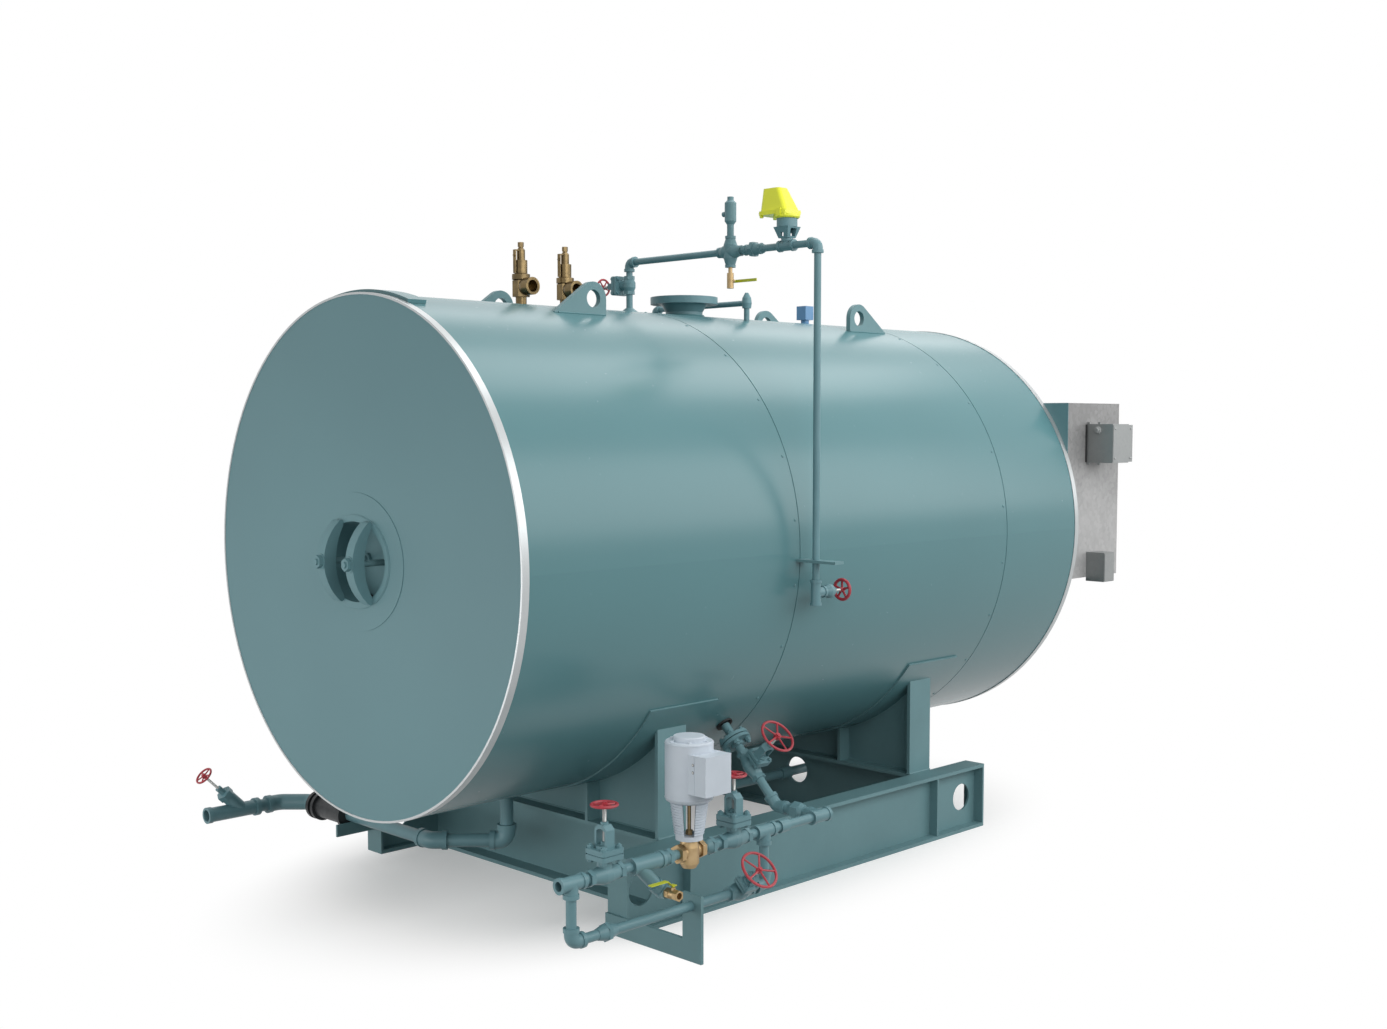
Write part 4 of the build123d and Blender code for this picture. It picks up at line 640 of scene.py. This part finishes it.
class BoilerColours(bpy.types.PropertyGroup):
    """Colours of the painted and moulded pieces."""
    jacket: bpy.props.FloatVectorProperty(
        name="Jacket", description="Enamel of the jacket", subtype="COLOR", size=4,
        min=0.0, max=1.0, default=PAINTS["jacket"][0])
    head: bpy.props.FloatVectorProperty(
        name="Heads", description="Enamel of the heads and the manway", subtype="COLOR",
        size=4, min=0.0, max=1.0, default=PAINTS["head"][0])
    skid: bpy.props.FloatVectorProperty(
        name="Skid", description="Enamel of the skid, saddles and lugs", subtype="COLOR",
        size=4, min=0.0, max=1.0, default=PAINTS["skid"][0])
    pipe: bpy.props.FloatVectorProperty(
        name="Pipes", description="Enamel of the pipes and valves", subtype="COLOR", size=4,
        min=0.0, max=1.0, default=PAINTS["pipe"][0])
    wheel: bpy.props.FloatVectorProperty(
        name="Hand wheels", description="Enamel of the hand wheels", subtype="COLOR", size=4,
        min=0.0, max=1.0, default=PAINTS["wheel"][0])
    lever: bpy.props.FloatVectorProperty(
        name="Levers", description="Vinyl of the ball valves' levers", subtype="COLOR",
        size=4, min=0.0, max=1.0, default=PAINTS["lever"][0])
    level_cover: bpy.props.FloatVectorProperty(
        name="Level cover", description="Moulding over the level control", subtype="COLOR",
        size=4, min=0.0, max=1.0, default=PAINTS["level_cover"][0])
    switch: bpy.props.FloatVectorProperty(
        name="Pressure switch", description="Moulding of the pressure switch",
        subtype="COLOR", size=4, min=0.0, max=1.0, default=PAINTS["switch"][0])


class BoilerStage(bpy.types.PropertyGroup):
    """Studio that the boiler is shown in."""
    floor_radius: bpy.props.FloatProperty(
        name="Floor radius", description="Radius of the pale floor", default=14.0,
        unit="LENGTH")
    room_light: bpy.props.FloatProperty(
        name="Room light", description="Strength of the plain studio light", default=0.38,
        min=0.0)
    top_power: bpy.props.FloatProperty(
        name="Top light", description="Power of the strip over the crown", default=118.0,
        unit="POWER")
    far_power: bpy.props.FloatProperty(
        name="Far light", description="Power of the strip over the far side", default=60.0,
        unit="POWER")
    side_power: bpy.props.FloatProperty(
        name="Side light", description="Power of the panel at the feed side", default=415.0,
        unit="POWER")
    front_power: bpy.props.FloatProperty(
        name="Front light", description="Power of the low panel at the front", default=68.0,
        unit="POWER")


class BOILER_OT_finishes(bpy.types.Operator):
    """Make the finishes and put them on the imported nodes"""
    bl_idname = "boiler.finishes"
    bl_label = "Finishes"

    def execute(self, context):
        FINISH.update(make_finishes(context.scene.boiler_colours))
        for key, names in NODE_FINISH.items():
            for name in names:
                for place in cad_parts[name].material_slots:
                    place.material = FINISH[key]
        return {"FINISHED"}


def seam_screws(radius, step):
    """Low round heads of the sheet screws beside each seam of the jacket."""
    shape = bmesh.new()
    behind_seam = 14
    head = [(0, -0.5), (radius, -0.5), (radius, 0.6), (radius * 0.6, 1.8), (0, 2.2)]
    for seam_y in SEAMS_Y:
        for index in range(round(2 * pi / step)):
            angle = (index + 0.5) * step * 180 / pi
            turned(shape, on_jacket(seam_y - behind_seam, angle), outward(angle), head, 12)
    piece("jacket_screws", shape, "jacket")


def crown_welds(radius):
    """Fillets along both faces of each lifting lug, and round the steam nozzle."""
    shape = bmesh.new()
    half_plate, toe, tail = 9, 48, 140
    for lug_y, way in LUGS:
        for side in (-1, 1):
            for face in (-half_plate, half_plate):
                x = side * LUG_X + face
                bead(shape, [on_crown(x, lug_y - way * toe), on_crown(x, lug_y + way * tail)],
                     radius * 0.8)
    neck = 66
    bead(shape, [on_crown(neck * cos(a), NOZZLE_Y + neck * sin(a)) for a in turns(40)],
         radius, closed=True)
    piece("crown_welds", shape, "jacket")


def nozzle_grooves():
    """Rings that the lathe left on the raised face of the steam nozzle's flange."""
    shape = bmesh.new()
    face_z = CROWN_Z + 64
    for radius in range(56, 77, 4):
        hoop(shape, (0, NOZZLE_Y, face_z), Z, radius, 0.4)
    piece("nozzle_face_grooves", shape, "pipe")


def wear_skins():
    """Skins over the saddles' wear plates, which are sprayed with the jacket."""
    shape = bmesh.new()
    inner, skin, half_width, half_turn = 755.3, 0.6, 138, 55
    for saddle_y in SADDLES_Y:
        rows = []
        for angle in range(180 - half_turn, 181 + half_turn, 2):
            rows.append([
                shape.verts.new(Vector((0, saddle_y + side * half_width, AXIS_Z))
                                + outward(angle) * radius)
                for side, radius in ((-1, inner), (-1, inner + skin),
                                     (1, inner + skin), (1, inner))])
        for low, high in zip(rows, rows[1:]):
            for k in range(4):
                shape.faces.new((low[k], low[(k + 1) % 4], high[(k + 1) % 4], high[k]))
        shape.faces.new(rows[0])
        shape.faces.new(reversed(rows[-1]))
    piece("wear_plate_skins", shape, "jacket")


class BOILER_OT_jacket(bpy.types.Operator):
    """Screws of the jacket, welds on its crown, nozzle's face and painted wear plates"""
    bl_idname = "boiler.jacket"
    bl_label = "Jacket details"

    def execute(self, context):
        sizes = context.scene.boiler_sizes
        seam_screws(in_mm(sizes.screw_radius), sizes.screw_step)
        crown_welds(in_mm(sizes.bead_radius))
        nozzle_grooves()
        wear_skins()
        return {"FINISHED"}


def safety_throats():
    """Throats in the outlets of the safety valves, and the pins of their test levers."""
    shape = bmesh.new()
    outlet_z, pin_y, pin_z = CROWN_Z + 55, -26, CROWN_Z + 150
    back, floor, seat, mouth = 19, 24, 28.5, 57
    inner, outer = 18.5, 20.9
    throat = [(0, back), (24, back), (26.5, seat), (outer, seat), (outer, mouth),
              (inner, mouth), (inner, floor), (0, floor)]
    for valve_y in SAFETY_Y:
        turned(shape, (0, valve_y, outlet_z), X, throat, 32)
        turned(shape, (0, valve_y + pin_y, pin_z), -Y, drum(4, 3), 12)
    piece("safety_valve_throats", shape, "old_brass")


def level_bands():
    """Bands on the arms of the level piping's cross, and the nut and collars of its union."""
    shape = bmesh.new()
    cross_x, union_x = 458, 556
    for way in (X, -X, Z, -Z):
        turned(shape, Vector((cross_x, LEVEL_Y, LEVEL_Z)) + way * 40, way, drum(16.5, 8), 24)
    turned(shape, (union_x - 7, LEVEL_Y, LEVEL_Z), X, drum(24, 14), 6)
    for side in (-1, 1):
        turned(shape, (union_x + side * 26, LEVEL_Y, LEVEL_Z), X * side, drum(17, 9), 8)
    piece("level_fitting_bands", shape, "pipe")


class BOILER_OT_crown(bpy.types.Operator):
    """Outlet throats of the safety valves, bands and nuts of the level piping's fittings"""
    bl_idname = "boiler.crown"
    bl_label = "Crown fittings"

    def execute(self, context):
        safety_throats()
        level_bands()
        return {"FINISHED"}


class BOILER_OT_manway(bpy.types.Operator):
    """Weld and gasket of the manway, washers, nuts and threads of its studs"""
    bl_idname = "boiler.manway"
    bl_label = "Manway details"

    def execute(self, context):
        sizes = context.scene.boiler_sizes
        pitch = in_mm(sizes.thread_pitch)
        shape = bmesh.new()
        bead(shape, oval_line(MANWAY_AXES, FRONT_Y - 2), in_mm(sizes.bead_radius) * 0.7,
             closed=True)
        piece("manway_weld", shape, "head")

        shape = bmesh.new()
        gasket_axes, gasket_y = (153, 116), -622
        tube(shape, oval_line(gasket_axes, gasket_y), 3.5, closed=True)
        piece("manway_gasket", shape, "rubber")

        shape = bmesh.new()
        cover_y, cover_nut_y = -616, -617
        for x in (-YOKE_X, YOKE_X):
            turned(shape, (x, YOKE_FRONT + 2, MANWAY_Z), -Y, drum(23, 3), 28)
            thread(shape, (x, YOKE_FRONT - 14, MANWAY_Z), -Y, 9.1, 5, pitch, 0.6)
            thread(shape, (x, cover_y, MANWAY_Z), -Y, 9.4, 118, pitch, 0.7)
            turned(shape, (x, cover_nut_y, MANWAY_Z), -Y, capped(17, 9, 14, 11), 6)
        piece("manway_studs", shape, "head")
        return {"FINISHED"}


def bonnet_bolts(shape, valve):
    """Four nuts with their studs over a valve's bonnet, and four nuts under it."""
    across = valve.stem.cross(valve.run)
    corner = valve.side / 2 - valve.plate * 0.75
    size = valve.plate * 0.6
    for a in (-1, 1):
        for b in (-1, 1):
            at = valve.centre + valve.run * (a * corner) + across * (b * corner)
            nut(shape, at + valve.stem * (valve.neck + 2 * valve.plate), valve.stem,
                size, size * 0.8, size * 0.5, size * 0.4)
            nut(shape, at + valve.stem * valve.neck, -valve.stem, size, size * 0.8)


def gland_nut(shape, valve):
    """Nut that presses the packing down round a valve's stem."""
    radius = valve.radius
    foot = valve.neck + 2 * valve.plate
    turned(shape, valve.centre + valve.stem * (foot + valve.arm), valve.stem,
           capped(2.1 * radius, 1.7 * radius, 1.7 * radius, 2 * radius), 6)


def stem_thread(valve, pitch):
    """Thread of a valve's stem between gland and yoke, and from the yoke up to the wheel."""
    shape = bmesh.new()
    radius = valve.radius + THREAD_PROUD
    foot = valve.neck + 2 * valve.plate
    gland = foot + valve.arm + 2 * valve.radius
    roof = foot + valve.height - 1.5 * valve.arm
    thread(shape, valve.centre + valve.stem * gland, valve.stem, radius, roof - gland, pitch)
    bush = foot + valve.height + valve.arm
    clear = 0.3
    thread(shape, valve.centre + valve.stem * (bush + clear), valve.stem, radius,
           valve.reach - 2 * valve.bar - bush, pitch)
    piece(f"{valve.name}_stem_thread", shape, "zinc", valve.body)


class BOILER_OT_valves(bpy.types.Operator):
    """Bonnet bolts, gland nuts and threaded stems of the valves"""
    bl_idname = "boiler.valves"
    bl_label = "Valve details"

    def execute(self, context):
        pitch = in_mm(context.scene.boiler_sizes.thread_pitch)
        bolts = bmesh.new()
        glands = bmesh.new()
        for valve in VALVES:
            bonnet_bolts(bolts, valve)
            gland_nut(glands, valve)
            stem_thread(valve, pitch)
        piece("bonnet_bolts", bolts, "pipe")
        piece("gland_nuts", glands, "pipe")

        shape = bmesh.new()
        blow_y, blow_way, blow_bush = -560, (Z - Y).normalized(), 122
        thread(shape, Vector((BLOW_X, blow_y, BLOW_Z)) + blow_way * blow_bush, blow_way,
               4.7, 62, pitch)
        piece("blowdown_stem_thread", shape, "zinc", "blowdown_wheel_body")
        shape = bmesh.new()
        side_bush, side_z = LEVEL_Y + 84.3, 940
        thread(shape, (LEVEL_X, side_bush, side_z), Y, 4.2, 28, pitch)
        piece("side_stem_thread", shape, "zinc", "side_wheel_body")
        return {"FINISHED"}


class BOILER_OT_riser(bpy.types.Operator):
    """Bolts of the riser's flanges, and a black cup of painted shade in the opening that the
    riser enters by
    """
    bl_idname = "boiler.riser"
    bl_label = "Riser details"

    def execute(self, context):
        shape = bmesh.new()
        joint = RISER_FOOT + RISE * 243
        ring, half_joint, shank = 35, 11.5, 12
        for index in range(4):
            angle = pi / 4 + index * pi / 2
            at = joint + (Y * cos(angle) + SLANT * sin(angle)) * ring
            for way in (-1, 1):
                nut(shape, at + RISE * (way * half_joint), RISE * way, 10, 9, 6, 7)
            turned(shape, at - RISE * shank, RISE, drum(5.5, 2 * shank), 12)
        piece("riser_flange_bolts", shape, "pipe")

        # Black cup inside the jacket's opening round the riser: painted shade in the recess
        shape = bmesh.new()
        from_axis = sqrt(RISER_FOOT.x ** 2 + (AXIS_Z - RISER_FOOT.z) ** 2)
        inner, outer, mouth, floor, end = 26, 26.9, -6, 43, 44
        turned(shape, RISER_FOOT + RISE * (from_axis - RADIUS), RISE,
               [(outer, mouth), (outer, end), (0, end), (0, floor), (inner, floor),
                (inner, mouth)], 32)
        piece("riser_opening_lining", shape, "rubber")
        return {"FINISHED"}


class BOILER_OT_actuator(bpy.types.Operator):
    """Cover joints, cover plate and screws of the control valve's actuator, with painted shade
    round the screws
    """
    bl_idname = "boiler.actuator"
    bl_label = "Actuator details"

    def execute(self, context):
        shape = bmesh.new()
        centre = Vector((FEED_X, CONTROL_Y, 0))
        joint, joint_bar, screw_ring = 65, 1.2, 53
        hoop(shape, centre + Z * (HOUSING_HIGH - 6), Z, joint, joint_bar)
        hoop(shape, centre + Z * (HOUSING_LOW + 14), Z, joint, joint_bar)
        for index in range(6):
            angle = index * pi / 3 + 0.3
            out = Vector((cos(angle), sin(angle), 0))
            turned(shape, centre + out * screw_ring + Z * HOUSING_HIGH, Z,
                   capped(4.5, 3, 3.2, 4), 12)
        plate_half, plate_low, plate_high = 49, 471, 578
        slab(shape, (FEED_X + 66, CONTROL_Y - plate_half, plate_low),
             (FEED_X + 68, CONTROL_Y + plate_half, plate_high), 0.6)
        piece("actuator_trim", shape, "aluminium")

        # Black discs under the two screws: painted shade of the holes that they sit in
        screws = [(FEED_X + 62, CONTROL_Y - 47.9, z) for z in (552, 532)]
        for name, finish, outline, sides in (
                ("actuator_screw_seats", "black", drum(4, 0.6), 16),
                ("actuator_screws", "zinc", [(0, 0), (2.6, 0), (2.6, 1.4), (0, 1.8)], 12)):
            shape = bmesh.new()
            for at in screws:
                turned(shape, at, -Y, outline, sides)
            piece(name, shape, finish)
        return {"FINISHED"}


class BOILER_OT_level(bpy.types.Operator):
    """Screw lugs, latch and joint of the level control's cover, and the nuts on its neck"""
    bl_idname = "boiler.level"
    bl_label = "Level control details"

    def execute(self, context):
        shape = bmesh.new()
        low, high = Vector((606, 316, 2060)), Vector((716, 394, 2072))
        corner = 9
        for x in (low.x + corner, high.x - corner):
            for y in (low.y + corner, high.y - corner):
                turned(shape, (x, y, low.z + 2), -Z, capped(6, 8, 4, 9), 12)
        slab(shape, (684, low.y - 3, 2052), (700, low.y + 1, 2076), 1.0)
        slab(shape, (low.x + 2, low.y + 2.5, low.z + 5),
             (high.x - 2, high.y - 2.5, low.z + 7), 0.4)
        piece("level_cover_lugs", shape, "yellow")

        shape = bmesh.new()
        neck_x, ring, flange_z = 690, 24, 2023
        for index in range(4):
            angle = pi / 4 + index * pi / 2
            nut(shape, (neck_x + ring * cos(angle), LEVEL_Y + ring * sin(angle), flange_z), Z,
                5, 5, 3, 2)
        piece("level_neck_nuts", shape, "pipe")
        return {"FINISHED"}


class BOILER_OT_enclosure(bpy.types.Operator):
    """Teal front sheet of the rear enclosure, a black strip of painted shadow in the gap at the
    edge of its upper box, and the covers, clips and boss of its boxes"""
    bl_idname = "boiler.enclosure"
    bl_label = "Enclosure details"

    def execute(self, context):
        shape = bmesh.new()
        half_width, sheet_low, sheet_high = 700.4, 859.6, 1517.4
        slab(shape, (-half_width, REAR_Y + 1.6, sheet_low),
             (half_width, REAR_Y + 4, sheet_high), 0.3)
        piece("enclosure_front_sheet", shape, "head")

        # Black strip on the enclosure beside the upper box: painted shadow of the gap there
        shape = bmesh.new()
        slab(shape, (700, 2040, 1296), (703, 2047.5, 1437), 0.5)
        piece("box_edge_strip", shape, "rubber")

        shape = bmesh.new()
        boss = [(0, 0), (15, 0), (15, 4), (11, 6), (11, 13), (8, 15), (0, 15)]
        turned(shape, (748, 2048, 1416), -Y, boss, 24)
        for x in (708, 752):
            for z, way in ((1439, 1), (1294, -1)):
                slab(shape, (x - 5, 2047, min(z, z + 7 * way)),
                     (x + 5, 2054, max(z, z + 7 * way)), 0.8)
        slab(shape, (809, 2050, 1297), (811.5, 2191, 1436), 0.8)
        for y in (2064, 2177):
            for z in (1311, 1422):
                turned(shape, (811, y, z), X, capped(5, 2, 3, 3), 12)
        slab(shape, (775, 2062, 849), (778, 2131, 953), 0.8)
        piece("box_covers", shape, "grey")
        return {"FINISHED"}


class BOILER_OT_skid(bpy.types.Operator):
    """Fillet welds of the saddles on the cross beams"""
    bl_idname = "boiler.skid"
    bl_label = "Skid details"

    def execute(self, context):
        radius = in_mm(context.scene.boiler_sizes.bead_radius) * 0.8
        shape = bmesh.new()
        foot_z, end_x, lip, half_end, web_x, half_web = 226, 562, 12, 58, 545, 7
        for saddle_y in SADDLES_Y:
            for x in (-end_x, end_x):
                inner = x - lip * (1 if x > 0 else -1)
                for y in (saddle_y - half_end, saddle_y + half_end):
                    bead(shape, [(x, y, foot_z), (inner, y, foot_z)], radius)
                bead(shape, [(x, saddle_y - half_end, foot_z),
                             (x, saddle_y + half_end, foot_z)], radius)
            for y in (saddle_y - half_web, saddle_y + half_web):
                bead(shape, [(-web_x, y, foot_z), (web_x, y, foot_z)], radius)
        piece("skid_welds", shape, "skid")
        return {"FINISHED"}


def place_camera(scene):
    """Camera at the place and turn that the photograph was taken from."""
    level = cos(CAMERA_DOWN)
    back = Vector((sin(CAMERA_YAW) * level, -cos(CAMERA_YAW) * level, sin(CAMERA_DOWN)))
    right = Vector((cos(CAMERA_YAW), sin(CAMERA_YAW), 0))
    up = back.cross(right)
    data = bpy.data.cameras.new("camera")
    data.sensor_width = SENSOR
    data.sensor_fit = "HORIZONTAL"
    data.lens = FOCAL_PX / IMAGE[0] * SENSOR
    data.shift_x = (IMAGE[0] / 2 - CENTRE_PX[0]) / IMAGE[0]
    data.shift_y = (CENTRE_PX[1] - IMAGE[1] / 2) / IMAGE[0]
    data.clip_end = CLIP_END
    camera = bpy.data.objects.new("camera", data)
    turn = Matrix((right, up, back)).transposed().to_4x4()
    camera.matrix_world = Matrix.Translation(CAMERA_AT) @ turn
    scene.collection.objects.link(camera)
    scene.camera = camera


def light_room(scene, strength):
    """Plain room: its own strength as light, and white as a background."""
    world = bpy.data.worlds.new("plain studio")
    scene.world = world
    world.use_nodes = True
    tree = world.node_tree
    tree.nodes.clear()
    level = add(tree, "ShaderNodeMix", {2: strength, 3: 1.0}, {0: background_rays(tree)})
    shine = add(tree, "ShaderNodeBackground", {"Color": WHITE}, {"Strength": level.outputs[0]})
    add(tree, "ShaderNodeOutputWorld", links={"Surface": shine.outputs["Background"]})


def floor_finish():
    """Matt floor: pale as a background, where it keeps the shadow near the boiler and fades
    to white further off, and dim as light, so that the vessel's belly stays dark."""
    made, tree = blank("matt white floor")
    seen = background_rays(tree)
    place = add(tree, "ShaderNodeTexCoord").outputs["Object"]
    oval = add(tree, "ShaderNodeMapping", {"Location": OVAL_SHIFT, "Scale": OVAL_SCALE},
               {"Vector": place})
    far = add(tree, "ShaderNodeVectorMath", links={0: oval.outputs["Vector"]},
              operation="LENGTH")
    fade = add(tree, "ShaderNodeMapRange",
               {"From Min": OVAL_FADE[0], "From Max": OVAL_FADE[1]},
               {"Value": far.outputs["Value"]}, interpolation_type="SMOOTHSTEP")
    shown = add(tree, "ShaderNodeMix", {6: FLOOR_BACK, 7: FLOOR_SHOWN}, {0: seen},
                data_type="RGBA")
    matt = add(tree, "ShaderNodeBsdfDiffuse", links={"Color": shown.outputs[2]})
    lift = add(tree, "ShaderNodeMath", {1: FLOOR_GLOW}, {0: seen}, operation="MULTIPLY")
    glow = add(tree, "ShaderNodeEmission", {"Color": WHITE},
               {"Strength": lift.outputs["Value"]})
    both = add(tree, "ShaderNodeAddShader",
               links={0: matt.outputs["BSDF"], 1: glow.outputs["Emission"]})
    white = add(tree, "ShaderNodeEmission", {"Color": WHITE, "Strength": 1.0})
    part = add(tree, "ShaderNodeMath", links={0: seen, 1: fade.outputs["Result"]},
               operation="MULTIPLY")
    whole = add(tree, "ShaderNodeMixShader",
                links={0: part.outputs["Value"], 1: both.outputs["Shader"],
                       2: white.outputs["Emission"]})
    add(tree, "ShaderNodeOutputMaterial", links={"Surface": whole.outputs["Shader"]})
    return made


def lay_floor(scene, radius):
    """Round floor under the boiler, which isn't part of it."""
    mesh = bpy.data.meshes.new("studio_floor")
    shape = bmesh.new()
    bmesh.ops.create_circle(shape, cap_ends=True, segments=64, radius=radius)
    shape.to_mesh(mesh)
    shape.free()
    floor = bpy.data.objects.new("studio_floor", mesh)
    scene.collection.objects.link(floor)
    mesh.materials.append(floor_finish())


def hang_lamps(scene, studio):
    """Soft light boxes of the studio, each turned to its aim."""
    for name, place, aim, power, size in LAMPS:
        lamp = bpy.data.lights.new(name, "AREA")
        lamp.shape = "RECTANGLE"
        lamp.energy = getattr(studio, power)
        lamp.size, lamp.size_y = size
        box = bpy.data.objects.new(name, lamp)
        back = -Vector(aim).normalized()
        along = X if abs(back.y) > 0.5 else Y
        across = along.cross(back).normalized()
        along = back.cross(across)
        turn = Matrix((across, along, back)).transposed().to_4x4()
        box.matrix_world = Matrix.Translation(place) @ turn
        scene.collection.objects.link(box)


class BOILER_OT_stage(bpy.types.Operator):
    """Camera, pale floor, white surround and soft studio light"""
    bl_idname = "boiler.stage"
    bl_label = "Stage"

    def execute(self, context):
        scene = context.scene
        studio = scene.boiler_stage
        scene.view_settings.view_transform = "Standard"
        place_camera(scene)
        light_room(scene, studio.room_light)
        lay_floor(scene, studio.floor_radius)
        hang_lamps(scene, studio)
        return {"FINISHED"}


class BOILER_PT_panel(bpy.types.Panel):
    """Sizes, colours, light and steps of the boiler"""
    bl_label = "Industrial boiler"
    bl_idname = "BOILER_PT_panel"
    bl_space_type = "VIEW_3D"
    bl_region_type = "UI"
    bl_category = "Boiler"

    def draw(self, context):
        scene = context.scene
        for group in (scene.boiler_sizes, scene.boiler_colours, scene.boiler_stage):
            for key in type(group).__annotations__:
                self.layout.prop(group, key)
        for step in STEPS:
            self.layout.operator(step.bl_idname)


STEPS = (BOILER_OT_stage, BOILER_OT_finishes, BOILER_OT_jacket, BOILER_OT_crown,
         BOILER_OT_manway, BOILER_OT_valves, BOILER_OT_riser, BOILER_OT_actuator,
         BOILER_OT_level, BOILER_OT_enclosure, BOILER_OT_skid)
CLASSES = (BoilerSizes, BoilerColours, BoilerStage, BOILER_PT_panel) + STEPS


def register():
    """Registers the classes and hangs the properties on the scene."""
    for kind in CLASSES:
        bpy.utils.register_class(kind)
    bpy.types.Scene.boiler_sizes = bpy.props.PointerProperty(type=BoilerSizes)
    bpy.types.Scene.boiler_colours = bpy.props.PointerProperty(type=BoilerColours)
    bpy.types.Scene.boiler_stage = bpy.props.PointerProperty(type=BoilerStage)


def unregister():
    """Takes the properties and classes away again."""
    del bpy.types.Scene.boiler_stage
    del bpy.types.Scene.boiler_colours
    del bpy.types.Scene.boiler_sizes
    for kind in reversed(CLASSES):
        bpy.utils.unregister_class(kind)


def main():
    """Runs every step in order."""
    register()
    for step in STEPS:
        group, name = step.bl_idname.split(".")
        getattr(getattr(bpy.ops, group), name)()


if __name__ == "__main__":
    main()
